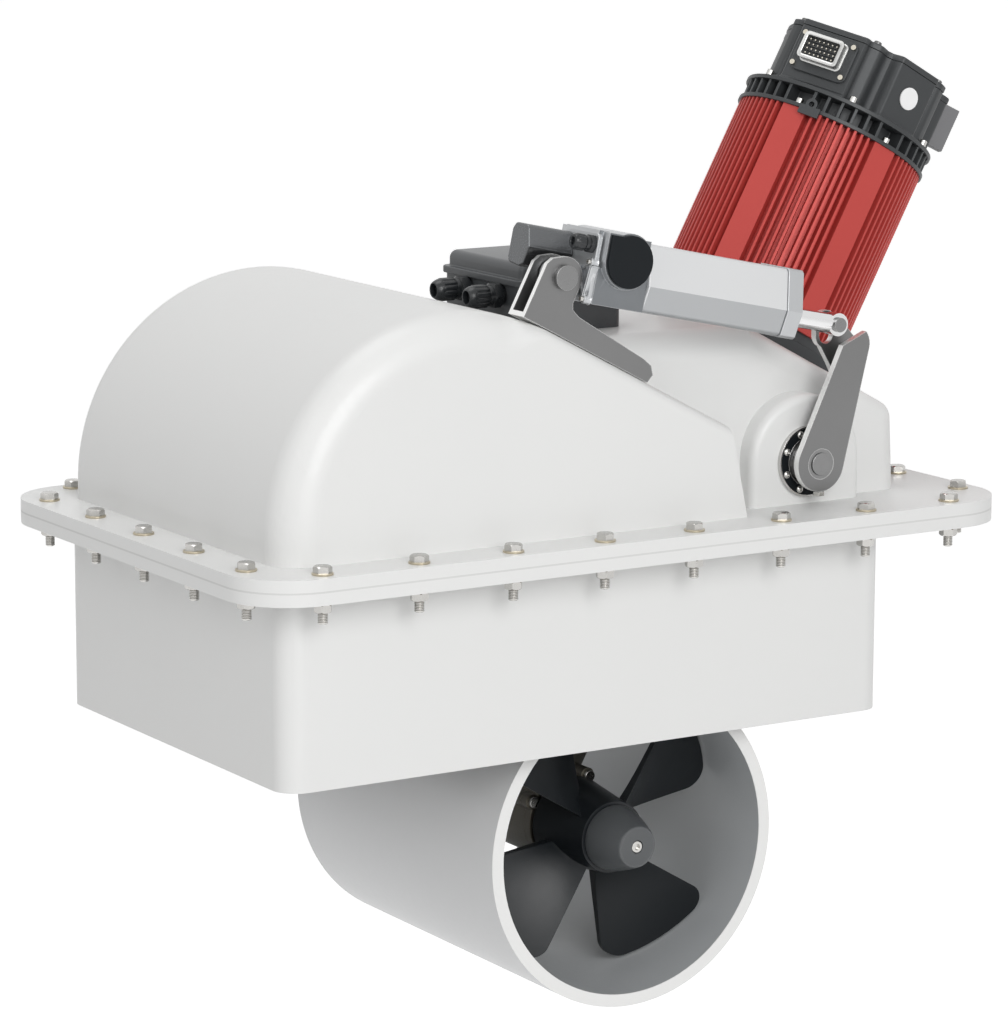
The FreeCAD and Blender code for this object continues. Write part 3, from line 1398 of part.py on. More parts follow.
def swing_cradle():
    outer = size.tunnel_bore / 2 + size.tunnel_wall
    seat = outer + size.running_clearance
    top = outer + size.saddle_plate
    arm_back = size.arm_inner + size.arm_plate
    apex = -size.leg_length
    pieces = []
    for side in (-1, 1):
        y_range = across(side, size.arm_inner, arm_back)
        pieces.append(plate("cradle_arm", [(-22, 0), (22, 0), (44, apex + top - 12), (-44, apex + top - 12)],
                            *y_range))
        pieces.append(cylinder("cradle_hub", size.arm_hub, "Y", *y_range))
    wedge_x = top * sine(size.saddle_angle)
    wedge_z = top * cosine(size.saddle_angle)
    ring = cylinder("saddle_ring", top, "Y", -arm_back, arm_back, (0, apex))
    wedge = plate("saddle_wedge", [(sized(0), apex), (wedge_x * 1.3, apex + wedge_z * 1.3),
                                   (-wedge_x * 1.3, apex + wedge_z * 1.3)],
                  -arm_back, arm_back)
    pieces.append(common("saddle_shell", ring, wedge))
    beam_top = -size.leg_top - 14
    pieces.append(block("cross_beam", (-24, 24), (-arm_back + EPS, arm_back - EPS), (beam_top - 12, beam_top)))
    pieces.append(cylinder("cradle_collar", size.leg_tube + 16, "Z", apex + outer + 4, apex + top + 14))
    holes = [cylinder("saddle_seat", seat, "Y", -arm_back - EPS, arm_back + EPS, (0, apex)),
             cylinder("cradle_leg_hole", size.leg_tube + size.bolt_clearance, "Z", apex + outer - 20,
                      beam_top + EPS),
             cylinder("cradle_shaft_hole", size.swing_shaft_radius + size.running_clearance, "Y",
                      -arm_back - EPS, arm_back + EPS)]
    grip = apex + top + 14
    screws = []
    for spot_xy in circle_spots(4, size.leg_tube + 8, 45):
        holes.append(cylinder("saddle_screw_hole", size.bolt_radius + size.running_clearance, "Z",
                              apex + outer - 20, grip + EPS, spot_xy))
        head = prism("saddle_screw_head", 6, size.bolt_flats, "Z", grip, grip + size.bolt_head, spot_xy)
        shank = cylinder("saddle_screw_shank", size.bolt_radius, "Z",
                         apex + size.tunnel_bore / 2 - 3, grip, spot_xy)
        screws.append(fused("saddle_screw", [head, shank]))
    node("swing_cradle", pieces, holes, LEG)
    set_of("saddle_bolts", screws, LEG)


def gear_leg():
    """Leg tube down through the tunnel wall into the pod that holds the bevel drive."""
    top = size.leg_length - size.leg_top
    pod = size.pod_radius
    inner = pod - size.pod_wall
    pod_front = -size.pod_front + 8
    pod_back = size.pod_back - 15
    pieces = [cylinder("leg_tube_bar", size.leg_tube, "Z", 0, top),
              cylinder("pod_bar", pod, "Y", pod_front, pod_back)]
    lugs = circle_spots(4, size.leg_screw_circle)
    for spot_xz in lugs:
        pieces.append(cylinder("pod_lug", 6.5, "Y", pod_front, pod_front + 20, spot_xz))
    tube_bore = size.leg_tube - size.pod_wall
    holes = [cylinder("pod_hollow", inner, "Y", pod_front - EPS, pod_back + EPS),
             cylinder("leg_bore", tube_bore, "Z", 0, top + EPS)]
    for spot_xz in lugs:
        holes.append(cylinder("pod_lug_hole", 3.05, "Y", pod_front - EPS, pod_front + 14, spot_xz))
    node("gear_leg", pieces, holes, TUNNEL)

    cover_front = pod_front - 9
    shaft_bore = size.shaft_radius + size.running_clearance
    cover = [cylinder("front_cover_disc", pod, "Y", cover_front, pod_front),
             cylinder("front_cover_spigot", inner - size.running_clearance, "Y", pod_front - EPS,
                      pod_front + 6)]
    holes = [cylinder("front_cover_bore", shaft_bore, "Y", cover_front - EPS, pod_front + 7)]
    screws = []
    for spot_xz in lugs:
        cover.append(cylinder("front_cover_lug", 6.5, "Y", cover_front, pod_front, spot_xz))
        holes.append(cylinder("front_cover_hole", 3.05, "Y", cover_front - EPS, pod_front + EPS, spot_xz))
        head = cylinder("cover_bolt_head", 4.8, "Y", cover_front - 4, cover_front, spot_xz)
        shank = cylinder("cover_bolt_shank", 3, "Y", cover_front, pod_front + 12, spot_xz)
        screws.append(fused("cover_bolt", [head, shank]))
    node("leg_front_cover", cover, holes, TUNNEL)
    set_of("leg_cover_bolts", screws, TUNNEL)

    rear = [cone("rear_cover_cone", pod, pod - 8, "Y", pod_back, size.pod_back),
            cylinder("rear_cover_spigot", inner - size.running_clearance, "Y", pod_back - 6,
                     pod_back + EPS)]
    node("leg_rear_cover", rear, [cylinder("rear_cover_bore", shaft_bore, "Y", pod_back - 7,
                                           size.pod_back - 7)], TUNNEL)
    cap = [cylinder("leg_top_disc", size.leg_tube, "Z", top, top + 5),
           cylinder("leg_top_spigot", tube_bore - size.running_clearance, "Z", top - 10, top + EPS)]
    node("leg_top_cap", cap, [cylinder("leg_top_bore", shaft_bore, "Z", top - 11, top + 6)], TUNNEL)


# Propeller

def blade_section(height, thickness):
    """Long thin rectangle across the blade, turned to the pitch at its height."""
    pitch = math.atan2(mm.blade_pitch, height)
    along = Vector(0, -math.sin(pitch), math.cos(pitch)) * mm.propeller_tip / 2
    thick = Vector(0, math.cos(pitch), math.sin(pitch)) * thickness / 2
    centre = Vector(height, 0, 0)
    corners = [centre + along + thick, centre + along - thick,
               centre - along - thick, centre - along + thick]
    return Part.makePolygon(corners + corners[:1])


def blade_planform():
    """Outline of one blade seen along the shaft: straight sides, round tip, round corners."""
    tip = mm.propeller_tip
    half = math.radians(mm.blade_spread / 2)
    root_radius = mm.hub_front_radius - 6
    root_half = root_radius / 3
    low = Vector(tip * math.cos(half), 0, -tip * math.sin(half))
    high = Vector(low.x, 0, -low.z)
    arc = Part.Arc(low, Vector(tip, 0, 0), high).toShape()
    depth = mm.hub_front
    solid = swept([Vector(root_radius, 0, -root_half), arc, Vector(root_radius, 0, root_half)],
                  Vector(0, depth, 0))
    solid.translate(Vector(0, -depth / 2, 0))
    corners = []
    for edge in solid.Edges:
        ends = [vertex.Point for vertex in edge.Vertexes]
        across_blade = abs(ends[0].x - ends[-1].x) < 1e-6 and abs(ends[0].z - ends[-1].z) < 1e-6
        if across_blade and ends[0].x > tip / 2:
            corners.append(edge)
    return solid.makeFillet(mm.blade_corner, corners)


def propeller():
    """Tapered hub with its blades, each a twisted sheet trimmed to the planform."""
    tip = mm.propeller_tip
    root_thick = mm.blade_root_thickness
    tip_thick = mm.blade_tip_thickness
    sections = []
    for share in (0.2, 0.4, 0.6, 0.8, 1.05):
        thickness = root_thick + (tip_thick - root_thick) * (share - 0.2)
        sections.append(blade_section(tip * share, thickness))
    blade = Part.makeLoft(sections, True).common(blade_planform()).Solids[0]
    blades = []
    for number in range(int(mm.blade_count)):
        turned_blade = blade.copy()
        angle = mm.blade_angle + mm.leg_tilt + 360.0 * number / mm.blade_count
        turned_blade.rotate(Vector(), Vector(0, 1, 0), -angle)
        turned_blade.translate(Vector(0, -mm.blade_mid, 0))
        blades.append(turned_blade)
    holder = doc.addObject("Part::Feature", "blades")
    holder.Shape = Part.makeCompound(blades)
    hub = cone("propeller_hub", size.hub_front_radius, size.hub_back_radius, "Y",
               -size.hub_front, -size.hub_back)
    bore = cylinder("propeller_bore", size.shaft_radius + size.running_clearance / 2, "Y",
                    -size.hub_front - EPS, -size.hub_back + EPS)
    node("propeller", [hub, holder], [bore], TUNNEL)


def propeller_shaft():
    shaft = cylinder("propeller_shaft_bar", size.shaft_radius, "Y", -size.hub_front - 8,
                     size.pod_back - 8)
    thread = cylinder("nose_screw_hole", 3, "Y", -size.hub_front - 9, -size.hub_front + 6)
    node("propeller_shaft", [shaft], [thread], TUNNEL)
    nose = cone("nose_taper", size.nose_tip_radius, size.hub_front_radius, "Y", -size.nose_end,
                -size.hub_front)
    seat = cylinder("nose_seat", size.shaft_radius + size.running_clearance / 2, "Y",
                    -size.hub_front - 8, -size.hub_front + EPS)
    counterbore = cylinder("nose_counterbore", 5.5, "Y", -size.nose_end - EPS, -size.nose_end + 4)
    bore = cylinder("nose_bore", 3.05, "Y", -size.nose_end, -size.hub_front)
    node("nose_cone", [nose], [seat, counterbore, bore], TUNNEL)
    head = cylinder("nose_screw_head", 5, "Y", -size.nose_end + 0.5, -size.nose_end + 4)
    shank = cylinder("nose_screw_shank", 2.95, "Y", -size.nose_end + 4, -size.hub_front + 5)
    socket = prism("nose_screw_socket", 6, 5, "Y", -size.nose_end, -size.nose_end + 3)
    node("nose_screw", [head, shank], [socket], TUNNEL)


# Control box on the tower

def control_box():
    x = (-size.box_left, size.box_right)
    y = (-size.box_front, size.box_back)
    foot = size.tower_top
    seam = foot + size.box_height
    wall = size.box_wall
    outer = corner_rounds("box_round", block("box_outer", x, y, (foot, seam)), Vector(0, 0, 1), 8.0)
    inner = block("box_inner", (x[0] + wall, x[1] - wall), (y[0] + wall, y[1] - wall),
                  (foot + wall, seam + EPS))
    glands = [(y[1] - 41, foot + size.gland_height), (y[0] + 30, foot + size.gland_height)]
    holes = [inner]
    for at in glands:
        holes.append(cylinder("gland_port", size.gland_radius, "X", x[0] - EPS, x[0] + wall + EPS, at))
    node("control_box", [outer], holes)
    lip = size.lid_overhang
    flange = block("lid_flange", (x[0] - lip, x[1] + lip), (y[0] - lip, y[1] + lip), (seam, seam + 6))
    flange = corner_rounds("lid_flange_round", flange, Vector(0, 0, 1), 9.0)
    crown = block("lid_crown", (x[0] + 2, x[1] - 2), (y[0] + 2, y[1] - 2), (seam + 5, seam + size.box_lid))

    def radii(edge):
        return (7.0, 7.0) if middle(edge).z > float(seam + 8) else None

    crown = rounded("lid_crown_round", crown, radii)
    node("control_box_lid", [flange, crown])
    bodies = []
    for at in glands:
        neck = cylinder("gland_neck", size.gland_radius - size.running_clearance, "X", x[0] - 3,
                        x[0] + wall + 4, at)
        nut = prism("gland_hex", 6, 19, "X", x[0] - 12, x[0] - 3, at)
        barrel = cylinder("gland_barrel", 8.5, "X", x[0] - 20, x[0] - 12, at)
        crown_nut = prism("gland_crown", 6, 18, "X", x[0] - 34, x[0] - 20, at)
        hole = cylinder("gland_way", 5.5, "X", x[0] - 35, x[0] + wall + 5, at)
        bodies.append(cut("gland", fused("gland_solid", [neck, nut, barrel, crown_nut]), [hole]))
    set_of("cable_glands", bodies)


bearings()
bearing_screws()
pivot_shafts()
lever_arm()
actuator_bracket()
actuator_tube()
actuator_gearbox()
actuator_trim()
actuator_gland()
actuator_screws()
actuator_rod()
motor_mount()
motor_body()
motor_fin_ring()
motor_cap()
motor_screws()
motor_connector()
motor_trim()
drive_line()
bevel_gears()
tunnel()
swing_cradle()
gear_leg()
propeller()
propeller_shaft()
control_box()

doc.recompute()
failed = [item.Name for item in doc.Objects if "Invalid" in item.State or "Error" in item.State]
failed += [item.Label for item in NODES if item.Shape.isNull() or not item.Shape.isValid()]
if failed:
    raise RuntimeError("failed objects: " + ", ".join(failed))
os.makedirs("parts", exist_ok=True)
for item in NODES:
    item.Shape.exportStep(f"parts/{item.Label}.step")
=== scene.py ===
import json
import math

import bmesh
import bpy
from mathutils import Euler, Matrix, Vector

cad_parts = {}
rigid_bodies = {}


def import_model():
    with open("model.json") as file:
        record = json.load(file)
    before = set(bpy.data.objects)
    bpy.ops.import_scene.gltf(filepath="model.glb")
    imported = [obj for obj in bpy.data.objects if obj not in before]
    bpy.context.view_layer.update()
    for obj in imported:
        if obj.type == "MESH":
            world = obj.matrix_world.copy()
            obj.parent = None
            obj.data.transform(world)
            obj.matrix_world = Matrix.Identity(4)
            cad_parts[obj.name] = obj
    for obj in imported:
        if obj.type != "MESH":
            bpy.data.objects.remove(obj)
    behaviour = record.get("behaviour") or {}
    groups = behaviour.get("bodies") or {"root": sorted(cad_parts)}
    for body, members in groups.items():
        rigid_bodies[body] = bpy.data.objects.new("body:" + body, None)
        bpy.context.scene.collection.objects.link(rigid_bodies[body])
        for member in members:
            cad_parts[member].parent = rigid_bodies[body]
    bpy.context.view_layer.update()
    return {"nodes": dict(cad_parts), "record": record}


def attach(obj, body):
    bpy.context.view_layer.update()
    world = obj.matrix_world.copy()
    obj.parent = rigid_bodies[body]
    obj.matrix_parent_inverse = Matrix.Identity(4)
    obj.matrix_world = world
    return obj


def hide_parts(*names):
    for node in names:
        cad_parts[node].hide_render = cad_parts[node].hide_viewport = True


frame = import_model()
nodes = frame["nodes"]

# Places shared with the frame, in metres
MM = 0.001


def tilted_frame(x, z, tilt):
    """Matrix from millimetres in a local frame, turned about Y, to metres in the shared frame."""
    turn = Matrix.Rotation(math.radians(tilt), 4, "Y")
    return Matrix.Translation(Vector((x, 0, z)) * MM) @ turn @ Matrix.Scale(MM, 4)


PIVOT_X = 190
PIVOT_Z = 46
LEG_TILT = 28.9
LEG_LENGTH = 347.4
LEG_AXIS = Vector((math.sin(math.radians(LEG_TILT)), 0, math.cos(math.radians(LEG_TILT))))
HUB = Vector((PIVOT_X, 0, PIVOT_Z)) - LEG_AXIS * LEG_LENGTH
CLEVIS_X = -58.558
CLEVIS_Z = 216.302
ROD_TILT = 12.0593
TUNNEL_REACH = 135.5

# Local frames of the pieces
HULL = Matrix.Scale(MM, 4)
PIVOT = tilted_frame(PIVOT_X, PIVOT_Z, 0)
LEG = tilted_frame(PIVOT_X, PIVOT_Z, LEG_TILT)
ROD = tilted_frame(CLEVIS_X, CLEVIS_Z, ROD_TILT)
TUNNEL = tilted_frame(HUB.x, HUB.z, LEG_TILT)
TUNNEL_BOTTOM = (HUB.z - TUNNEL_REACH) * MM


# Shader node helpers

def new_group(name, inputs, outputs):
    """Shader node group with named sockets; inputs map a name to its kind and default."""
    tree = bpy.data.node_groups.new(name, "ShaderNodeTree")
    for label, (kind, default) in inputs.items():
        socket = tree.interface.new_socket(label, in_out="INPUT", socket_type=kind)
        if default is not None:
            socket.default_value = default
    for label, kind in outputs.items():
        tree.interface.new_socket(label, in_out="OUTPUT", socket_type=kind)
    return tree, tree.nodes.new("NodeGroupInput"), tree.nodes.new("NodeGroupOutput")


def add_node(tree, kind, values=(), **settings):
    node = tree.nodes.new(kind)
    for name, value in settings.items():
        setattr(node, name, value)
    for name, value in dict(values).items():
        node.inputs[name].default_value = value
    return node


def link(tree, source, target):
    tree.links.new(source, target)


FLOAT = "NodeSocketFloat"
COLOUR = "NodeSocketColor"
VECTOR = "NodeSocketVector"


def grain_group():
    """Fine grain and broad mottling as two values between 0 and 1."""
    tree, given, result = new_group("Surface grain", {
        "Fine scale": (FLOAT, 900.0), "Broad scale": (FLOAT, 9.0), "Stretch": (VECTOR, (1, 1, 1))},
        {"Fine": FLOAT, "Broad": FLOAT})
    place = add_node(tree, "ShaderNodeTexCoord")
    stretch = add_node(tree, "ShaderNodeVectorMath", operation="MULTIPLY")
    link(tree, place.outputs["Object"], stretch.inputs[0])
    link(tree, given.outputs["Stretch"], stretch.inputs[1])
    fine = add_node(tree, "ShaderNodeTexNoise", {"Detail": 3.0, "Roughness": 0.6})
    broad = add_node(tree, "ShaderNodeTexNoise", {"Detail": 4.0, "Roughness": 0.55})
    link(tree, stretch.outputs[0], fine.inputs["Vector"])
    link(tree, place.outputs["Object"], broad.inputs["Vector"])
    link(tree, given.outputs["Fine scale"], fine.inputs["Scale"])
    link(tree, given.outputs["Broad scale"], broad.inputs["Scale"])
    link(tree, fine.outputs["Fac"], result.inputs["Fine"])
    link(tree, broad.outputs["Fac"], result.inputs["Broad"])
    return tree


def edge_group():
    """Mask that is 1 on sharp outer edges and fades over the given width."""
    tree, given, result = new_group("Edge wear", {
        "Width": (FLOAT, 0.001), "Breakup": (FLOAT, 0.5)}, {"Edge": FLOAT})
    soft = add_node(tree, "ShaderNodeBevel", samples=4)
    link(tree, given.outputs["Width"], soft.inputs["Radius"])
    hard = add_node(tree, "ShaderNodeNewGeometry")
    facing = add_node(tree, "ShaderNodeVectorMath", operation="DOT_PRODUCT")
    link(tree, soft.outputs["Normal"], facing.inputs[0])
    link(tree, hard.outputs["Normal"], facing.inputs[1])
    place = add_node(tree, "ShaderNodeTexCoord")
    noise = add_node(tree, "ShaderNodeTexNoise", {"Scale": 120.0, "Detail": 4.0})
    link(tree, place.outputs["Object"], noise.inputs["Vector"])
    spread = add_node(tree, "ShaderNodeMapRange", {"From Min": 0.98, "From Max": 0.8})
    link(tree, facing.outputs["Value"], spread.inputs["Value"])
    broken = add_node(tree, "ShaderNodeMath", operation="MULTIPLY_ADD")
    link(tree, noise.outputs["Fac"], broken.inputs[0])
    link(tree, given.outputs["Breakup"], broken.inputs[1])
    broken.inputs[2].default_value = 0.5
    edge = add_node(tree, "ShaderNodeMath", operation="MULTIPLY", use_clamp=True)
    link(tree, spread.outputs["Result"], edge.inputs[0])
    link(tree, broken.outputs["Value"], edge.inputs[1])
    link(tree, edge.outputs["Value"], result.inputs["Edge"])
    return tree


def tone_group():
    """Colour that varies between a base, a mottled tone and a lighter edge colour that stands for scuffing
    and a painted highlight together.
    """
    tree, given, result = new_group("Tone with scuffed and highlit edges", {
        "Base": (COLOUR, None), "Mottle": (COLOUR, None), "Edge colour": (COLOUR, None),
        "Broad": (FLOAT, 0.5), "Edge": (FLOAT, 0.0), "Mottle amount": (FLOAT, 0.5),
        "Edge amount": (FLOAT, 0.5)}, {"Colour": COLOUR})
    amount = add_node(tree, "ShaderNodeMath", operation="MULTIPLY", use_clamp=True)
    link(tree, given.outputs["Broad"], amount.inputs[0])
    link(tree, given.outputs["Mottle amount"], amount.inputs[1])
    mottled = add_node(tree, "ShaderNodeMix", data_type="RGBA")
    link(tree, amount.outputs[0], mottled.inputs["Factor"])
    link(tree, given.outputs["Base"], mottled.inputs[6])
    link(tree, given.outputs["Mottle"], mottled.inputs[7])
    # Share of the lighter edge colour: scuffing and a painted highlight together
    worn_and_lit = add_node(tree, "ShaderNodeMath", operation="MULTIPLY", use_clamp=True)
    link(tree, given.outputs["Edge"], worn_and_lit.inputs[0])
    link(tree, given.outputs["Edge amount"], worn_and_lit.inputs[1])
    final = add_node(tree, "ShaderNodeMix", data_type="RGBA")
    link(tree, worn_and_lit.outputs[0], final.inputs["Factor"])
    link(tree, mottled.outputs[2], final.inputs[6])
    link(tree, given.outputs["Edge colour"], final.inputs[7])
    link(tree, final.outputs[2], result.inputs["Colour"])
    return tree


GRAIN = grain_group()
EDGE = edge_group()
TONE = tone_group()
MOTTLE_AMOUNT = 0.6
COAT_ROUGHNESS = 0.15


def surface(name, base, mottle, edge, roughness, metallic=0.0, coat=0.0, bump=0.1, fine_scale=900.0,
            broad_scale=9.0, stretch=(1, 1, 1), edge_width=0.0012, edge_amount=0.5, rough_spread=0.1,
            relief=0.00005, gloss=0.5):
    """Material with grain, mottling, lighter edges for scuffing and a painted highlight, and a roughness that
    follows the grain.
    """
    material = bpy.data.materials.new(name)
    material.use_nodes = True
    tree = material.node_tree
    shader = tree.nodes["Principled BSDF"]
    grain = add_node(tree, "ShaderNodeGroup", node_tree=GRAIN)
    grain.inputs["Fine scale"].default_value = fine_scale
    grain.inputs["Broad scale"].default_value = broad_scale
    grain.inputs["Stretch"].default_value = stretch
    # Lighter edges: scuffing and a painted highlight together
    wear_and_highlight = add_node(tree, "ShaderNodeGroup", node_tree=EDGE)
    wear_and_highlight.inputs["Width"].default_value = edge_width
    tone = add_node(tree, "ShaderNodeGroup", node_tree=TONE)
    for label, colour in (("Base", base), ("Mottle", mottle), ("Edge colour", edge)):
        tone.inputs[label].default_value = (*colour, 1.0)
    tone.inputs["Mottle amount"].default_value = MOTTLE_AMOUNT
    tone.inputs["Edge amount"].default_value = edge_amount
    link(tree, grain.outputs["Broad"], tone.inputs["Broad"])
    link(tree, wear_and_highlight.outputs["Edge"], tone.inputs["Edge"])
    link(tree, tone.outputs["Colour"], shader.inputs["Base Color"])
    rough = add_node(tree, "ShaderNodeMapRange", {
        "To Min": roughness - rough_spread, "To Max": roughness + rough_spread})
    link(tree, grain.outputs["Fine"], rough.inputs["Value"])
    link(tree, rough.outputs["Result"], shader.inputs["Roughness"])
    dents = add_node(tree, "ShaderNodeBump", {"Strength": bump, "Distance": relief})
    link(tree, grain.outputs["Fine"], dents.inputs["Height"])
    link(tree, dents.outputs["Normal"], shader.inputs["Normal"])
    shader.inputs["Metallic"].default_value = metallic
    shader.inputs["Coat Weight"].default_value = coat
    shader.inputs["Coat Roughness"].default_value = COAT_ROUGHNESS
    shader.inputs["Specular IOR Level"].default_value = gloss
    return material


def painted_bore_shade_and_rim_light(material, axis_x, axis_z, radius, shade, end, rim):
    """Painted shade: darken the colour within a radius of an axis along Y. Painted highlight: lighten it past
    both ends.
    """
    tree = material.node_tree
    shader = tree.nodes["Principled BSDF"]
    colour = shader.inputs["Base Color"].links[0].from_socket
    place = add_node(tree, "ShaderNodeTexCoord")
    centre = add_node(tree, "ShaderNodeVectorMath", operation="SUBTRACT")
    flat = add_node(tree, "ShaderNodeVectorMath", operation="MULTIPLY")
    reach = add_node(tree, "ShaderNodeVectorMath", operation="LENGTH")
    inside = add_node(tree, "ShaderNodeMapRange", {
        "From Min": radius, "From Max": radius + 0.003, "To Min": 1.0, "To Max": 0.0})
    blend = add_node(tree, "ShaderNodeMix", data_type="RGBA", blend_type="MULTIPLY")
    centre.inputs[1].default_value = (axis_x, 0, axis_z)
    flat.inputs[1].default_value = (1, 0, 1)
    blend.inputs[7].default_value = (*shade, 1.0)
    link(tree, place.outputs["Object"], centre.inputs[0])
    link(tree, centre.outputs[0], flat.inputs[0])
    link(tree, flat.outputs[0], reach.inputs[0])
    link(tree, reach.outputs["Value"], inside.inputs["Value"])
    link(tree, inside.outputs["Result"], blend.inputs["Factor"])
    link(tree, colour, blend.inputs[6])
    # Painted highlight on the two cut ends of the tunnel
    apart = add_node(tree, "ShaderNodeSeparateXYZ")
    far = add_node(tree, "ShaderNodeMath", operation="ABSOLUTE")
    past = add_node(tree, "ShaderNodeMapRange", {"From Min": end - 0.0006, "From Max": end})
    bright = add_node(tree, "ShaderNodeMix", data_type="RGBA")
    bright.inputs[7].default_value = (*rim, 1.0)
    link(tree, place.outputs["Object"], apart.inputs[0])
    link(tree, apart.outputs["Y"], far.inputs[0])
    link(tree, far.outputs[0], past.inputs["Value"])
    link(tree, past.outputs["Result"], bright.inputs["Factor"])
    link(tree, blend.outputs[2], bright.inputs[6])
    link(tree, bright.outputs[2], shader.inputs["Base Color"])
    return material


def facing_tone(material, axis, start, full, colour, mode="MIX", both_ways=False):
    """Tint the faces that look along, or away from, one of the thruster's own axes."""
    tree = material.node_tree
    shader = tree.nodes["Principled BSDF"]
    plain = shader.inputs["Base Color"].links[0].from_socket
    place = add_node(tree, "ShaderNodeTexCoord")
    apart = add_node(tree, "ShaderNodeSeparateXYZ")
    link(tree, place.outputs["Normal"], apart.inputs[0])
    facing = apart.outputs[axis]
    if both_ways:
        size = add_node(tree, "ShaderNodeMath", operation="ABSOLUTE")
        link(tree, facing, size.inputs[0])
        facing = size.outputs[0]
    mask = add_node(tree, "ShaderNodeMapRange", {"From Min": start, "From Max": full})
    tint = add_node(tree, "ShaderNodeMix", data_type="RGBA", blend_type=mode)
    tint.inputs[7].default_value = (*colour, 1.0)
    link(tree, facing, mask.inputs["Value"])
    link(tree, mask.outputs["Result"], tint.inputs["Factor"])
    link(tree, plain, tint.inputs[6])
    link(tree, tint.outputs[2], shader.inputs["Base Color"])


# Finishes of this thruster

WHITE_GELCOAT = surface("White gelcoat", (0.78, 0.78, 0.77), (0.74, 0.745, 0.74), (0.84, 0.84, 0.83),
                        roughness=0.42, coat=0.12, bump=0.12, fine_scale=160.0, broad_scale=5.0,
                        edge_width=0.002, edge_amount=0.3, relief=0.0002)
# Painted shade: the tunnel's gelcoat is a darker copy of the white gelcoat, darker still in the bore; painted
# highlight on its two cut ends
TUNNEL_PAINTED_SHADE_AND_HIGHLIGHT = painted_bore_shade_and_rim_light(
    surface("Tunnel gelcoat with painted shade and highlight", (0.68, 0.685, 0.69), (0.64, 0.645, 0.65), (0.86, 0.86, 0.85),
            roughness=0.42, coat=0.12, bump=0.12, fine_scale=160.0, broad_scale=5.0,
            edge_width=0.002, edge_amount=0.3, relief=0.0002),
    axis_x=HUB.x * MM, axis_z=HUB.z * MM, radius=0.1262, shade=(0.7, 0.72, 0.73), end=0.1598,
    rim=(0.82, 0.82, 0.81))
GASKET = surface("Sealing sheet", (0.68, 0.68, 0.67), (0.6, 0.6, 0.59), (0.72, 0.72, 0.71),
                 roughness=0.7, bump=0.3, fine_scale=700.0)
STAINLESS = surface("Bright stainless", (0.56, 0.55, 0.53), (0.44, 0.43, 0.41), (0.75, 0.74, 0.72),
                    roughness=0.24, metallic=1.0, bump=0.15, fine_scale=500.0, broad_scale=60.0,
                    edge_width=0.0005)
WARM_WASHER = surface("Warm washer", (0.56, 0.5, 0.38), (0.42, 0.37, 0.28), (0.7, 0.65, 0.55),
                      roughness=0.3, metallic=1.0, bump=0.15, fine_scale=500.0, broad_scale=60.0,
                      edge_width=0.0004)
# Painted highlight: the edge mask lights the sheet's edges almost white
BRUSHED_SHEET = surface("Brushed sheet", (0.22, 0.22, 0.22), (0.17, 0.17, 0.17), (0.86, 0.86, 0.85),
                        roughness=0.34, metallic=0.9, bump=0.25, fine_scale=380.0, broad_scale=14.0,
                        stretch=(0.12, 1.0, 4.0), edge_width=0.0011, edge_amount=1.0)
# Painted highlight: the edge mask gives the pin heads a near-white rim
PIN_STEEL = surface("Ground pin", (0.26, 0.26, 0.26), (0.2, 0.2, 0.2), (0.84, 0.84, 0.83),
                    roughness=0.3, metallic=0.95, bump=0.2, fine_scale=600.0, broad_scale=40.0,
                    edge_width=0.0006, edge_amount=0.8)
BEARING_STEEL = surface("Turned bearing", (0.6, 0.59, 0.58), (0.48, 0.47, 0.46), (0.8, 0.79, 0.78),
                        roughness=0.22, metallic=1.0, bump=0.2, fine_scale=500.0, broad_scale=30.0,
                        edge_width=0.0005)
BLACK_PLASTIC = surface("Black plastic", (0.012, 0.014, 0.016), (0.02, 0.022, 0.024), (0.06, 0.062, 0.065),
                        roughness=0.3, bump=0.2, fine_scale=1100.0, broad_scale=30.0, edge_width=0.0006)
COVER_BLACK = surface("Flat black cover", (0.007, 0.009, 0.011), (0.011, 0.013, 0.015), (0.07, 0.072, 0.075),
                      roughness=0.45, bump=0.1, fine_scale=1100.0, broad_scale=30.0, edge_width=0.0005,
                      gloss=0.15)
MOTOR_BLACK = surface("Black casting", (0.034, 0.037, 0.039), (0.052, 0.055, 0.058), (0.14, 0.145, 0.15),
                      roughness=0.46, metallic=0.25, bump=0.35, fine_scale=1000.0, broad_scale=25.0,
                      edge_width=0.0008, edge_amount=0.55)
MOTOR_RED = surface("Red anodised fins", (0.53, 0.066, 0.056), (0.44, 0.048, 0.042), (0.66, 0.13, 0.11),
                    roughness=0.45, metallic=0.15, gloss=0.35, bump=0.2, fine_scale=500.0, broad_scale=18.0,
                    edge_width=0.0005, edge_amount=0.15)
CONNECTOR_METAL = surface("Connector shell", (0.55, 0.55, 0.54), (0.42, 0.42, 0.41), (0.8, 0.8, 0.79),
                          roughness=0.3, metallic=0.9, bump=0.2, fine_scale=900.0, broad_scale=50.0)
CONTACT_METAL = surface("Plated contacts", (0.5, 0.47, 0.4), (0.38, 0.35, 0.3), (0.8, 0.76, 0.68),
                        roughness=0.25, metallic=1.0, bump=0.1)
PLAIN_WHITE = surface("Plain white disc", (0.9, 0.9, 0.9), (0.86, 0.86, 0.86), (0.95, 0.95, 0.95),
                      roughness=0.5, bump=0.05)
TERMINAL_GREY = surface("Grey plate", (0.16, 0.16, 0.165), (0.12, 0.12, 0.125), (0.3, 0.3, 0.31),
                        roughness=0.5, metallic=0.3, bump=0.2)
BOX_GREY = surface("Dark moulded box", (0.062, 0.066, 0.07), (0.08, 0.085, 0.09), (0.15, 0.155, 0.16),
                   roughness=0.36, bump=0.35, fine_scale=1300.0, broad_scale=20.0, edge_width=0.0008)
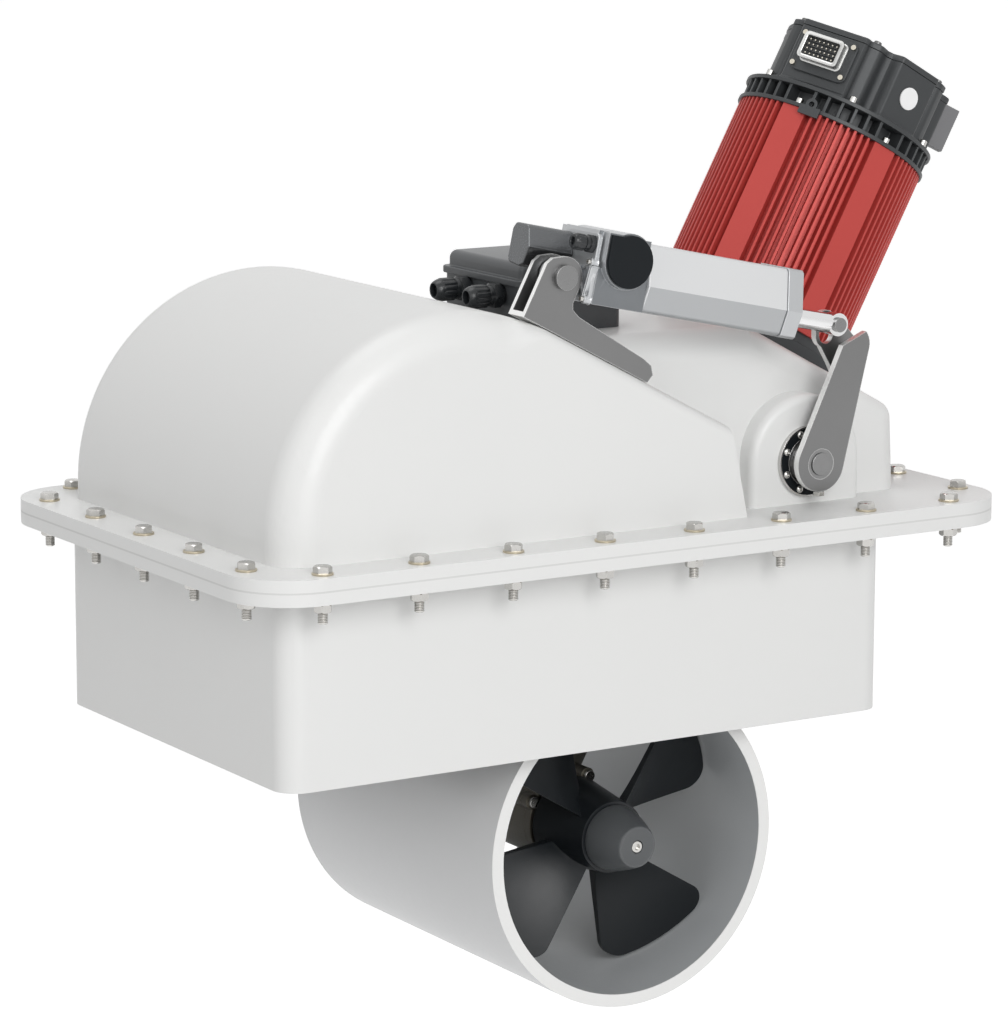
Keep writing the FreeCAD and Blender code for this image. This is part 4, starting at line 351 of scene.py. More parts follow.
BRONZE = surface("Dark bronze", (0.14, 0.128, 0.105), (0.2, 0.185, 0.15), (0.4, 0.37, 0.3),
                 roughness=0.4, metallic=0.8, bump=0.4, fine_scale=600.0, broad_scale=30.0)
PROPELLER_BLACK = surface("Black composite", (0.008, 0.01, 0.012), (0.013, 0.0155, 0.018),
                          (0.06, 0.062, 0.065), roughness=0.36, bump=0.2, fine_scale=900.0,
                          broad_scale=22.0, edge_width=0.0008, gloss=0.32)
NOSE_GREY = surface("Dark grey composite", (0.085, 0.09, 0.094), (0.07, 0.075, 0.079), (0.26, 0.265, 0.27),
                    roughness=0.4, bump=0.2, fine_scale=900.0, broad_scale=25.0, edge_width=0.001)
TUBE_ALUMINIUM = surface("Brushed aluminium tube", (0.7, 0.705, 0.71), (0.64, 0.65, 0.66),
                         (0.88, 0.88, 0.88), roughness=0.36, metallic=0.25, bump=0.08, fine_scale=420.0,
                         broad_scale=10.0, stretch=(0.08, 1.0, 2.0), edge_width=0.0008)
CAP_ALUMINIUM = surface("Grey anodised cap", (0.5, 0.51, 0.52), (0.42, 0.43, 0.44), (0.8, 0.81, 0.82),
                        roughness=0.38, metallic=0.7, bump=0.25, fine_scale=700.0, broad_scale=24.0)
GEAR_CASE = surface("Blasted casting", (0.21, 0.22, 0.23), (0.15, 0.16, 0.17), (0.85, 0.85, 0.85),
                    roughness=0.32, metallic=0.8, bump=0.45, fine_scale=900.0, broad_scale=26.0)
SMALL_MOTOR = surface("Dark anodised profile", (0.14, 0.145, 0.15), (0.11, 0.115, 0.12),
                      (0.4, 0.405, 0.41), roughness=0.26, metallic=0.5, bump=0.05, fine_scale=600.0,
                      stretch=(0.1, 1.0, 1.0), broad_scale=20.0)
CHROME_ROD = surface("Chromed rod", (0.75, 0.75, 0.75), (0.66, 0.66, 0.66), (0.9, 0.9, 0.9),
                     roughness=0.12, metallic=1.0, bump=0.05, rough_spread=0.04)
DARK_SCREW = surface("Dark screws", (0.12, 0.12, 0.12), (0.18, 0.18, 0.18), (0.4, 0.4, 0.4),
                     roughness=0.35, metallic=0.9, bump=0.2)

# Painted highlight on the bright cut edges of the sheet; bright cut edges on the gear case; painted shade on
# the darker undersides of the tube and small motor
facing_tone(BRUSHED_SHEET, "Y", start=0.92, full=0.6, colour=(0.85, 0.85, 0.84), both_ways=True)
facing_tone(GEAR_CASE, "Y", start=0.92, full=0.5, colour=(0.5, 0.51, 0.52), both_ways=True)
facing_tone(TUBE_ALUMINIUM, "Z", start=-0.05, full=-0.25, colour=(0.55, 0.56, 0.57), mode="MULTIPLY")
facing_tone(SMALL_MOTOR, "Z", start=0.0, full=-0.2, colour=(0.3, 0.3, 0.3), mode="MULTIPLY")

FINISH = {
    "skirt_gelcoat": WHITE_GELCOAT, "housing_gelcoat": WHITE_GELCOAT, "tunnel_white": TUNNEL_PAINTED_SHADE_AND_HIGHLIGHT,
    "cradle_white": WHITE_GELCOAT, "gasket_rubber": GASKET, "bolt_steel": STAINLESS,
    "nut_steel": STAINLESS, "washer_steel": WARM_WASHER, "bearing_steel": BEARING_STEEL,
    "cover_black": COVER_BLACK, "screw_steel": STAINLESS, "screw_dark": DARK_SCREW,
    "pin_steel": PIN_STEEL, "bracket_steel": BRUSHED_SHEET, "lever_steel": BRUSHED_SHEET,
    "motor_black": MOTOR_BLACK, "motor_red": MOTOR_RED, "connector_metal": CONNECTOR_METAL,
    "pin_contacts": CONTACT_METAL, "disc_white": PLAIN_WHITE, "terminal_grey": TERMINAL_GREY,
    "box_grey": BOX_GREY, "gland_black": BLACK_PLASTIC, "shaft_steel": PIN_STEEL,
    "gear_steel": PIN_STEEL, "leg_bronze": BRONZE, "propeller_black": PROPELLER_BLACK,
    "nose_grey": NOSE_GREY, "tube_aluminium": TUBE_ALUMINIUM, "cap_aluminium": CAP_ALUMINIUM,
    "gearbox_aluminium": GEAR_CASE, "small_motor_grey": SMALL_MOTOR, "rod_chrome": CHROME_ROD,
}


def dress_nodes():
    """Give every node of the frame the finish of its slot."""
    for part in frame["record"]["subparts"]:
        node = nodes[part["node"]]
        node.data.materials.clear()
        node.data.materials.append(FINISH[part["material_slot"]])


# Mesh helpers, in millimetres of a local frame

HEX_CHAMFER = 0.08
CORNER_STEPS = 5
SHARP_ANGLE = 32.0
ROUND_ANGLE = 30.0
ROUND_SEGMENTS = 2


def pointing_left(x, y, z):
    """Matrix that lays local Z along minus X, starting from a place."""
    along = Matrix.Translation((x, y, z)) @ Matrix.Rotation(math.pi / 2, 4, "Y")
    return along @ Matrix.Rotation(math.pi, 4, "X")


def rings(bm, loops, matrix, closed_ends=True):
    """Skin of quads over loops of points; the first and last loops are filled."""
    made = [[bm.verts.new(matrix @ Vector(point)) for point in loop] for loop in loops]
    count = len(made[0])
    for low, high in zip(made, made[1:]):
        for number in range(count):
            after = (number + 1) % count
            bm.faces.new((low[number], low[after], high[after], high[number]))
    if closed_ends:
        bm.faces.new(made[0][::-1])
        bm.faces.new(made[-1])


def circle(radius, height, count, shape=None):
    """Loop of points; shape may give a factor for each angle."""
    loop = []
    for number in range(count):
        angle = 2 * math.pi * number / count
        reach = radius * (shape(angle) if shape else 1.0)
        loop.append((reach * math.cos(angle), reach * math.sin(angle), height))
    return loop


def lathe(bm, profile, matrix, count, shape=None):
    """Turned piece from pairs of radius and height; a closed profile makes a ring."""
    closed = profile[0] == profile[-1]
    loops = [circle(radius, height, count, shape=shape) for radius, height in profile]
    rings(bm, loops, matrix, closed_ends=not closed)
    if closed:
        bmesh.ops.remove_doubles(bm, verts=bm.verts[:], dist=1e-5)


def hexagon(bm, flats, low, high, matrix, both_ends=False, bore=0.0):
    """Six sided head or nut whose corners are chamfered by a cone."""
    apothem = flats / 2
    corner = apothem / math.cos(math.pi / 6)
    drop = flats * HEX_CHAMFER

    def side_loop(height, end):
        loop = []
        for number in range(24):
            angle = 2 * math.pi * number / 24
            off = abs((angle + math.pi / 6) % (math.pi / 3) - math.pi / 6)
            reach = apothem / math.cos(off)
            fall = drop * (reach - apothem) / (corner - apothem) + 0.15
            loop.append((reach * math.cos(angle), reach * math.sin(angle), height - end * fall))
        return loop

    inner = apothem * 0.93
    start = [circle(inner, low, 24), side_loop(low, -1)] if both_ends else [side_loop(low, 0)]
    loops = start + [side_loop(high, 1), circle(inner, high, 24)]
    if bore:
        loops = [circle(bore, low, 24)] + loops + [circle(bore, high, 24), circle(bore, low, 24)]
        rings(bm, loops, matrix, closed_ends=False)
        bmesh.ops.remove_doubles(bm, verts=bm.verts[:], dist=1e-5)
    else:
        rings(bm, loops, matrix)


def boxed(bm, x, y, z, matrix, bevel, segments=2):
    """Box between pairs of coordinates, its edges rounded."""
    made = bmesh.ops.create_cube(bm, size=1.0)["verts"]
    for vertex in made:
        vertex.co = matrix @ Vector(((x[0] + x[1]) / 2 + vertex.co.x * (x[1] - x[0]),
                                     (y[0] + y[1]) / 2 + vertex.co.y * (y[1] - y[0]),
                                     (z[0] + z[1]) / 2 + vertex.co.z * (z[1] - z[0])))
    edges = {edge for vertex in made for edge in vertex.link_edges}
    bmesh.ops.bevel(bm, geom=list(edges), offset=bevel, segments=segments, affect="EDGES", profile=0.5)


def rounded_rectangle(half_width, half_height, radius, x):
    """Loop in the YZ plane at a given X."""
    loop = []
    for quarter, (side, up) in enumerate(((1, 1), (-1, 1), (-1, -1), (1, -1))):
        for step in range(CORNER_STEPS + 1):
            angle = math.pi / 2 * (quarter + step / CORNER_STEPS)
            loop.append((x, side * (half_width - radius) + radius * math.cos(angle),
                         up * (half_height - radius) + radius * math.sin(angle)))
    return loop


def shaped(mesh, angle):
    """Smooth shading that keeps edges sharper than the angle crisp."""
    mesh.shade_smooth()
    mesh.set_sharp_from_angle(angle=math.radians(angle))


def piece(name, bm, frame_matrix, body, slot, replaced=()):
    """Finished piece: placed in metres, facing outwards, riding on its body."""
    bmesh.ops.transform(bm, matrix=frame_matrix, verts=bm.verts[:])
    bmesh.ops.recalc_face_normals(bm, faces=bm.faces[:])
    mesh = bpy.data.meshes.new(name)
    bm.to_mesh(mesh)
    bm.free()
    return dressed(name, mesh, body, slot, replaced)


def dressed(name, mesh, body, slot, replaced, angle=SHARP_ANGLE):
    """Object for a finished mesh, with the finish of its slot, its shading and its body."""
    mesh.materials.clear()
    mesh.materials.append(FINISH[slot])
    shaped(mesh, angle)
    thing = bpy.data.objects.new(name, mesh)
    bpy.context.scene.collection.objects.link(thing)
    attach(thing, body)
    if replaced:
        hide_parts(*replaced)
    return thing


def node_facts(node):
    """Body and slot of a node, as the frame's record gives them."""
    slot = next(part["material_slot"] for part in frame["record"]["subparts"] if part["node"] == node)
    body = next(name for name, group in frame["record"]["behaviour"]["bodies"].items() if node in group)
    return body, slot


def softened(node, width):
    """Copy of a node with its flat faces joined and its edges rounded."""
    body, slot = node_facts(node)
    bm = bmesh.new()
    bm.from_mesh(nodes[node].data)
    bmesh.ops.remove_doubles(bm, verts=bm.verts[:], dist=2e-6)
    bmesh.ops.dissolve_limit(bm, angle_limit=math.radians(0.6), verts=bm.verts[:], edges=bm.edges[:])
    mesh = bpy.data.meshes.new(node + "_soft")
    bm.to_mesh(mesh)
    bm.free()
    thing = dressed(node + "_soft", mesh, body, slot, (node,), ROUND_ANGLE)
    rounding = thing.modifiers.new("edges", "BEVEL")
    rounding.width = width * MM
    rounding.segments = ROUND_SEGMENTS
    rounding.limit_method = "ANGLE"
    rounding.angle_limit = math.radians(ROUND_ANGLE)
    rounding.harden_normals = True
    return thing


def instanced(name, master, spots, body, slot, replaced, seed):
    """Copies of a small mesh at places with a direction, by a geometry node tree."""
    tree = bpy.data.node_groups.new(name + " places", "GeometryNodeTree")
    tree.interface.new_socket("Geometry", in_out="INPUT", socket_type="NodeSocketGeometry")
    fastener = tree.interface.new_socket("Fastener", in_out="INPUT", socket_type="NodeSocketObject")
    spread = tree.interface.new_socket("Turn", in_out="INPUT", socket_type="NodeSocketFloat")
    tree.interface.new_socket("Geometry", in_out="OUTPUT", socket_type="NodeSocketGeometry")
    given = tree.nodes.new("NodeGroupInput")
    result = tree.nodes.new("NodeGroupOutput")
    source = tree.nodes.new("GeometryNodeObjectInfo")
    aim = add_node(tree, "GeometryNodeInputNamedAttribute", {"Name": "aim"}, data_type="FLOAT_VECTOR")
    lay = add_node(tree, "FunctionNodeAlignRotationToVector", axis="Z")
    chance = add_node(tree, "FunctionNodeRandomValue", {"Seed": seed}, data_type="FLOAT")
    turn = tree.nodes.new("ShaderNodeCombineXYZ")
    turned = add_node(tree, "FunctionNodeRotateRotation", rotation_space="LOCAL")
    copy = tree.nodes.new("GeometryNodeInstanceOnPoints")
    real = tree.nodes.new("GeometryNodeRealizeInstances")
    paint = add_node(tree, "GeometryNodeSetMaterial", {"Material": FINISH[slot]})
    link(tree, given.outputs["Geometry"], copy.inputs["Points"])
    link(tree, given.outputs["Fastener"], source.inputs["Object"])
    link(tree, source.outputs["Geometry"], copy.inputs["Instance"])
    link(tree, aim.outputs["Attribute"], lay.inputs["Vector"])
    link(tree, given.outputs["Turn"], chance.inputs[3])
    link(tree, chance.outputs[1], turn.inputs["Z"])
    link(tree, lay.outputs["Rotation"], turned.inputs["Rotation"])
    link(tree, turn.outputs["Vector"], turned.inputs["Rotate By"])
    link(tree, turned.outputs["Rotation"], copy.inputs["Rotation"])
    link(tree, copy.outputs["Instances"], real.inputs["Geometry"])
    link(tree, real.outputs["Geometry"], paint.inputs["Geometry"])
    link(tree, paint.outputs["Geometry"], result.inputs["Geometry"])

    master_mesh = bpy.data.meshes.new(name + "_master")
    bmesh.ops.recalc_face_normals(master, faces=master.faces[:])
    bmesh.ops.transform(master, matrix=HULL, verts=master.verts[:])
    master.to_mesh(master_mesh)
    master.free()
    master_object = bpy.data.objects.new(name + "_master", master_mesh)
    points = bpy.data.meshes.new(name + "_points")
    points.from_pydata([spot for spot, _ in spots], [], [])
    attribute = points.attributes.new("aim", "FLOAT_VECTOR", "POINT")
    for number, (_, direction) in enumerate(spots):
        attribute.data[number].vector = direction
    holder = bpy.data.objects.new(name + "_holder", points)
    scene_objects = bpy.context.scene.collection.objects
    scene_objects.link(master_object)
    scene_objects.link(holder)
    spreader = holder.modifiers.new("places", "NODES")
    spreader.node_group = tree
    spreader[fastener.identifier] = master_object
    spreader[spread.identifier] = math.pi * 2
    bpy.context.view_layer.update()
    baked = bpy.data.meshes.new_from_object(holder.evaluated_get(bpy.context.evaluated_depsgraph_get()))
    baked.name = name
    for thing in (holder, master_object):
        bpy.data.objects.remove(thing)
    return dressed(name, baked, body, slot, replaced)


# Fasteners

BOLT_PITCH = 85
LONG_ROW_BOLTS = 8
LONG_ROW_Y = 212.5
SHORT_ROW_BOLTS = 5
SHORT_ROW_X = 340
FLANGE_TOP = 10.35
WASHER = 1.6
BOLT_RADIUS = 4
BOLT_FLATS = 13
BOLT_HEAD = 5.3
BOLT_PAST_NUT = 9
NUT_HEIGHT = 6.8
THREAD_ROOT = 3.4
THREAD_PITCH = 1.25
BEARING_SCREWS = 8
BEARING_CIRCLE = 24.5
BEARING_FACE_Y = 163.5


def flange_places():
    """The 26 bolt places round the flange."""
    spots = []
    for side in (-1, 1):
        for number in range(LONG_ROW_BOLTS):
            spots.append((BOLT_PITCH * (number - (LONG_ROW_BOLTS - 1) / 2), LONG_ROW_Y * side))
        for number in range(SHORT_ROW_BOLTS):
            spots.append((SHORT_ROW_X * side, BOLT_PITCH * (number - (SHORT_ROW_BOLTS - 1) / 2)))
    return spots


def bolt_master():
    """Hex head, plain shank through the flanges, and a threaded end."""
    bm = bmesh.new()
    head = FLANGE_TOP + WASHER
    hexagon(bm, BOLT_FLATS, head, head + BOLT_HEAD, Matrix.Identity(4))
    nut_foot = -FLANGE_TOP - WASHER - NUT_HEIGHT
    end = nut_foot - BOLT_PAST_NUT
    profile = [(BOLT_RADIUS, head + 0.01), (BOLT_RADIUS, nut_foot + 1)]
    height = nut_foot + 1
    while height > end + 1.6:
        profile += [(BOLT_RADIUS, height - 0.15), (THREAD_ROOT, height - 0.6),
                    (BOLT_RADIUS, height - 1.1)]
        height -= THREAD_PITCH
    profile += [(3.9, end + 0.7), (3.2, end)]
    lathe(bm, profile[::-1], Matrix.Identity(4), 16)
    return bm


def washer_master():
    """Upper and lower washer of one bolt."""
    bm = bmesh.new()
    for foot in (FLANGE_TOP, -FLANGE_TOP - WASHER):
        top = foot + WASHER
        lathe(bm, [(4.1, foot), (8.3, foot), (8.5, foot + 0.3), (8.5, top - 0.3), (8.3, top), (4.1, top),
                   (4.1, foot)], Matrix.Identity(4), 28)
    return bm


def nut_master():
    """Nut under the lower flange, chamfered at both ends."""
    bm = bmesh.new()
    top = -FLANGE_TOP - WASHER
    hexagon(bm, BOLT_FLATS, top - NUT_HEIGHT, top, Matrix.Identity(4), both_ends=True, bore=4.05)
    return bm


def flange_fasteners():
    up = Vector((0, 0, 1))
    spots = [(Vector((x, y, 0)) * MM, up) for x, y in flange_places()]
    instanced("flange_bolts_turned", bolt_master(), spots, "housing", "bolt_steel", ("flange_bolts",), 5)
    instanced("flange_washers_turned", washer_master(), spots, "housing", "washer_steel",
              ("flange_washers",), 6)
    instanced("flange_nuts_turned", nut_master(), spots, "housing", "nut_steel", ("flange_nuts",), 7)


def button_master(radius, height, socket):
    """Domed screw head with a hex socket."""
    bm = bmesh.new()
    profile = [(radius, 0.0), (radius, height * 0.25)]
    for step in range(1, 5):
        angle = math.pi / 2 * step / 5
        profile.append((radius * math.cos(angle) * 0.98, height * (0.25 + 0.75 * math.sin(angle))))
    profile += [(socket, height), (socket * 0.98, height * 0.35), (0.02, height * 0.3)]
    lathe(bm, profile, Matrix.Identity(4), 18)
    return bm


def bearing_buttons():
    spots = []
    for side in (-1, 1):
        for number in range(BEARING_SCREWS):
            angle = math.radians(360 / BEARING_SCREWS * (number + 0.5))
            right = BEARING_CIRCLE * math.cos(angle)
            up = BEARING_CIRCLE * math.sin(angle)
            spots.append((PIVOT @ Vector((right, side * BEARING_FACE_Y, up)), Vector((0, side, 0))))
    instanced("bearing_buttons", button_master(3.3, 2.2, 1.2), spots, "housing", "screw_steel",
              ("bearing_screws",), 8)


def socket_master(radius, height, socket):
    """Cylinder head screw with a rounded rim and a hex socket."""
    bm = bmesh.new()
    lathe(bm, [(radius, 0.0), (radius, height - 0.5), (radius - 0.5, height), (socket, height),
               (socket * 0.97, height * 0.4), (0.02, height * 0.4)], Matrix.Identity(4), 20)
    return bm


# Motor: heights along its own axis from the pivot, turns from its right side towards the viewer

RING_TOP = 281.5
CAP_FOOT = 299
CAP_TOP = 350
LID_TOP = 355
CAP_RADIUS = 75
CAP_HOLLOW = 3.5
CAP_PAD = 2.5
LOBES = 6
LOBE_TURN = 62
LOBE_STEP = 60
LOBE_REACH = 7.3
RING_SCREW_TURN = 32
RING_SCREW_CIRCLE = 80
CAP_SCREW_CIRCLE = 82.7
LID_SCREW_CIRCLE = 72
CONNECTOR_TURN = 150
CAP_PADS = ((CONNECTOR_TURN, 62), (88, 44), (19, 40), (-90, 60))


def round_motor(turn, radius, height):
    """Point round the motor, the turn measured from its right side towards the viewer."""
    angle = -math.radians(turn)
    return LEG @ Vector((radius * math.cos(angle), radius * math.sin(angle), height))


def motor_screws():
    spots = []
    lid_spots = []
    for number in range(LOBES):
        step = LOBE_STEP * number
        spots.append((round_motor(RING_SCREW_TURN + step, RING_SCREW_CIRCLE, RING_TOP), LEG_AXIS))
        spots.append((round_motor(LOBE_TURN + step, CAP_SCREW_CIRCLE, CAP_FOOT), LEG_AXIS))
        lid_spots.append((round_motor(LOBE_TURN + step, LID_SCREW_CIRCLE, LID_TOP), LEG_AXIS))
    instanced("motor_ring_sockets", socket_master(3.2, 5, 1.6), spots, "housing", "screw_steel",
              ("motor_ring_screws",), 9)
    instanced("lid_sockets", socket_master(3.4, 2.9, 1.7), lid_spots, "housing", "screw_dark",
              ("lid_screws",), 10)


def smooth_peak(off, half, soft):
    """1 within half of the middle, easing to 0 over soft."""
    if off <= half:
        return 1.0
    if off >= half + soft:
        return 0.0
    share = (off - half) / soft
    return 0.5 + 0.5 * math.cos(math.pi * share)


def cap_reach(angle, grow):
    """Radius of the lobed cap at an angle: flat pads and screw lobes joined by soft hollows."""
    turn = -math.degrees(angle)
    reach = CAP_RADIUS - CAP_HOLLOW
    for middle, width in CAP_PADS:
        off = abs((turn - middle + 180) % 360 - 180)
        if off < 60:
            flat = (CAP_RADIUS + CAP_PAD) / math.cos(math.radians(off))
            half = math.degrees(math.atan2(width / 2 - 2, CAP_RADIUS + CAP_PAD))
            rise = (flat - CAP_RADIUS + CAP_HOLLOW) * smooth_peak(off, half, 7)
            reach = max(reach, CAP_RADIUS - CAP_HOLLOW + rise)
    for number in range(LOBES):
        off = abs((turn - LOBE_TURN - LOBE_STEP * number + 180) % 360 - 180)
        reach = max(reach, CAP_RADIUS - CAP_HOLLOW + LOBE_REACH * smooth_peak(off, 2.5, 7.5))
    return reach + grow


def cap_loop(height, grow):
    """Loop round the lobed cap at a height, grown outwards in millimetres."""
    loop = []
    for number in range(360):
        angle = 2 * math.pi * number / 360
        reach = cap_reach(angle, grow)
        loop.append((reach * math.cos(angle), reach * math.sin(angle), height))
    return loop


def motor_cap():
    """Lobed cap with the connector's pad and three ribs, and the lid on top of it."""
    bm = bmesh.new()
    rings(bm, [cap_loop(CAP_FOOT, 1.2), cap_loop(CAP_FOOT + 1.5, 1.2), cap_loop(CAP_FOOT + 3, 0),
               cap_loop(CAP_TOP - 0.8, 0), cap_loop(CAP_TOP - 0.3, -0.8)], Matrix.Identity(4))
    face = Matrix.Rotation(-math.radians(CONNECTOR_TURN), 4, "Z")
    middle = CAP_FOOT + 29
    outline = [rounded_rectangle(27, 19, 7, CAP_RADIUS + 1.5), rounded_rectangle(27, 19, 7, CAP_RADIUS + 4.2),
               rounded_rectangle(26.2, 18.2, 6.2, CAP_RADIUS + 5)]
    rings(bm, outline, face @ Matrix.Translation((0, 0, middle)))
    for number in range(3):
        place = Matrix.Rotation(-math.radians(66 + 6 * number), 4, "Z")
        boxed(bm, (CAP_RADIUS - 6, CAP_RADIUS + 1), (-1.6, 1.6), (CAP_FOOT, CAP_FOOT + 17 - 2 * number),
              place, 0.8)
    piece("motor_cap_lobed", bm, LEG, "housing", "motor_black", ("motor_cap",))
    bm = bmesh.new()
    rings(bm, [cap_loop(CAP_TOP - 0.3, 0.1), cap_loop(CAP_TOP, 0.6), cap_loop(LID_TOP - 1.2, 0.6),
               cap_loop(LID_TOP - 0.4, 0.05), cap_loop(LID_TOP, -1.0), cap_loop(LID_TOP, -8),
               cap_loop(LID_TOP - 1.2, -9.5), cap_loop(LID_TOP - 1.2, -30)], Matrix.Identity(4))
    piece("motor_lid_lobed", bm, LEG, "housing", "motor_black", ("motor_lid",))


def motor_connector():
    """Rounded metal shell on its flange, with a black insert."""
    face = Matrix.Rotation(-math.radians(CONNECTOR_TURN), 4, "Z")
    turn = face @ Matrix.Translation((0, 0, CAP_FOOT + 31))
    base = CAP_RADIUS + 5
    bm = bmesh.new()
    loops = [rounded_rectangle(19.5, 12.5, 4, base), rounded_rectangle(19.5, 12.5, 4, base + 1.6),
             rounded_rectangle(18.4, 11.4, 3.4, base + 2), rounded_rectangle(18.4, 11.4, 3.4, base + 10.6),
             rounded_rectangle(19, 12, 4, base + 11), rounded_rectangle(18.6, 11.6, 3.6, base + 11.5),
             rounded_rectangle(16.6, 9.6, 2.4, base + 11.5), rounded_rectangle(15.8, 8.8, 2.0, base + 11),
             rounded_rectangle(15.8, 8.8, 2.0, base + 1), rounded_rectangle(15.8, 8.8, 2.0, base)]
    rings(bm, loops, turn, closed_ends=False)
    piece("connector_shell", bm, LEG, "housing", "connector_metal", ("motor_connector",))
    bm = bmesh.new()
    rings(bm, [rounded_rectangle(16.5, 9.5, 2.3, base), rounded_rectangle(16.5, 9.5, 2.3, base + 3.5)],
          turn)
    for line in range(4):
        boxed(bm, (base + 3, base + 6), (-14.5, 14.5), (-7.4 + 4.2 * line, -6.4 + 4.2 * line), turn, 0.2, 1)
    piece("connector_insert", bm, LEG, "housing", "motor_black")


# Nose, glands and other turned pieces

NOSE_FOOT_Y = -129
GLAND_X = -38
GLAND_PLACES_Y = (-50, 1)
GLAND_Z = 186.5
CASE_FACE_X = 21.0
CASE_BOSS_X = 18.3
TUBE_CAP_X = 226
CASE_BOSSES = ((-180, 15.5), (-148, 12.5), (-179, -14))
CASE_RIBS = (((-180, 15.5), (-164, 6)), ((-148, 12.5), (-164, 6)), ((-179, -14), (-164, 6)),
             ((-179, -14), (-183, 12)), ((-148, 12.5), (-158, -12)))
TUBE_CAP_SCREWS = ((-178, -8), (-148, -10), (-148, 30))


def propeller_nose():
    """Bullet shaped nose with a rounded rim round its flat face."""
    bm = bmesh.new()
    profile = [(0.05, 0.0), (26.6, 0.0), (27.2, 0.4), (27.4, 1.2)]
    for step in range(1, 13):
        share = step / 12
        profile.append((27.4 - 9.4 * share ** 1.5, 1.2 + 33.6 * share))
    profile += [(17.6, 36.0), (16.9, 36.8), (16.0, 37.0), (15.2, 36.6), (5.6, 36.6), (5.4, 33.2),
                (0.05, 33.2)]
    flipped = TUNNEL @ Matrix.Translation((0, NOSE_FOOT_Y, 0)) @ Matrix.Rotation(math.pi / 2, 4, "X")
    lathe(bm, profile, Matrix.Identity(4), 64)
    piece("nose_bullet", bm, flipped, "propeller_set", "nose_grey", ("nose_cone",))
    bm = bmesh.new()
    lathe(bm, [(0.05, 33.3), (4.9, 33.3), (4.9, 36.2), (4.5, 36.6), (2.7, 36.6), (2.6, 34.4), (0.05, 34.4)],
          Matrix.Identity(4), 24)
    piece("nose_socket_screw", bm, flipped, "propeller_set", "screw_steel", ("nose_screw",))


def ribbed(count, depth):
    """Factor for each angle that gives a ring of grip ribs."""
    def shape(angle):
        return 1.0 - depth * (0.5 + 0.5 * math.cos(angle * count)) ** 4
    return shape


def cable_glands():
    """Both glands of the control box: hexagon, threaded neck, ribbed nut and soft mouth."""
    bm = bmesh.new()
    for y in GLAND_PLACES_Y:
        turn = pointing_left(GLAND_X, y, GLAND_Z)
        hexagon(bm, 19, 3, 11.5, turn, both_ends=True)
        lathe(bm, [(8.2, 0.0), (8.2, 3), (8.6, 3.2), (8.6, 14.6), (8.2, 15.0), (7.9, 15.0), (7.9, 15.8),
                   (8.6, 16.0)], turn, 32)
        lathe(bm, [(9.3, 15.8), (9.6, 16.4), (9.6, 27), (9.2, 28.2)], turn, 96, ribbed(12, 0.09))
        lathe(bm, [(9.1, 27.6), (8.9, 29.5), (8.0, 31.6), (7.2, 33.0), (6.6, 33.8), (5.6, 34), (5.4, 33.4),
                   (5.2, 20), (0.05, 20)], turn, 40)
    piece("gland_set", bm, HULL, "housing", "gland_black", ("cable_glands",))


def actuator_gland():
    """Small gland on the gear case."""
    bm = bmesh.new()
    turn = pointing_left(CASE_FACE_X, -175, 29.5)
    hexagon(bm, 13.8, 0, 5, turn, both_ends=True)
    lathe(bm, [(5.9, 4), (5.9, 8.2), (5.3, 8.4), (5.3, 9.2), (6.2, 9.4)], turn, 28)
    lathe(bm, [(6.4, 9.3), (6.8, 9.8), (6.8, 15.6), (6.4, 16.4)], turn, 72, ribbed(10, 0.08))
    lathe(bm, [(6.3, 16), (6.1, 17.6), (5.2, 18.8), (3.4, 19), (3.1, 18.5), (3.0, 10), (0.05, 10)], turn, 28)
    piece("actuator_gland_turned", bm, ROD, "actuator_barrel", "gland_black", ("actuator_gland",))


def gear_case_details():
    """Bright cast end plate with its ribs and screw bosses."""
    bm = bmesh.new()
    plate = [rounded_rectangle(22, 27, 4, CASE_FACE_X - 0.3),
             rounded_rectangle(22.6, 27.6, 4.6, CASE_FACE_X + 0.3),
             rounded_rectangle(22.6, 27.6, 4.6, CASE_FACE_X + 2.9)]
    rings(bm, plate, Matrix.Translation((0, -160.5, 11.5)))
    radius = 3.8
    for y, z in CASE_BOSSES:
        turn = pointing_left(CASE_FACE_X + 3, y, z)
        lathe(bm, [(radius + 0.6, 0), (radius, 1.2), (radius, 5.2), (radius - 0.5, 5.8), (0.05, 5.8)],
              turn, 24)
    for start, end in CASE_RIBS:
        middle = ((start[0] + end[0]) / 2, (start[1] + end[1]) / 2)
        length = math.dist(start, end)
        angle = math.atan2(end[1] - start[1], end[0] - start[0])
        turn = Matrix.Translation((CASE_FACE_X, *middle)) @ Matrix.Rotation(angle, 4, "X")
        boxed(bm, (-2.6, 3), (-length / 2, length / 2), (-1.1, 1.1), turn, 0.7)
    piece("gear_case_ribs", bm, ROD, "actuator_barrel", "cap_aluminium")


def case_screws():
    """Screws in the gear case's bosses and in the far end of the tube."""
    towards = (ROD.to_3x3() @ Vector((-1, 0, 0))).normalized()
    spots = [(ROD @ Vector((CASE_BOSS_X, y, z)), towards) for y, z in CASE_BOSSES]
    spots += [(ROD @ Vector((TUBE_CAP_X, y, z)), -towards) for y, z in TUBE_CAP_SCREWS]
    instanced("actuator_sockets", socket_master(2.4, 2.4, 1.2), spots, "actuator_barrel", "screw_steel",
              ("actuator_screws",), 11)


# Nodes whose own shape is kept, each with the width of its rounded edges in millimetres

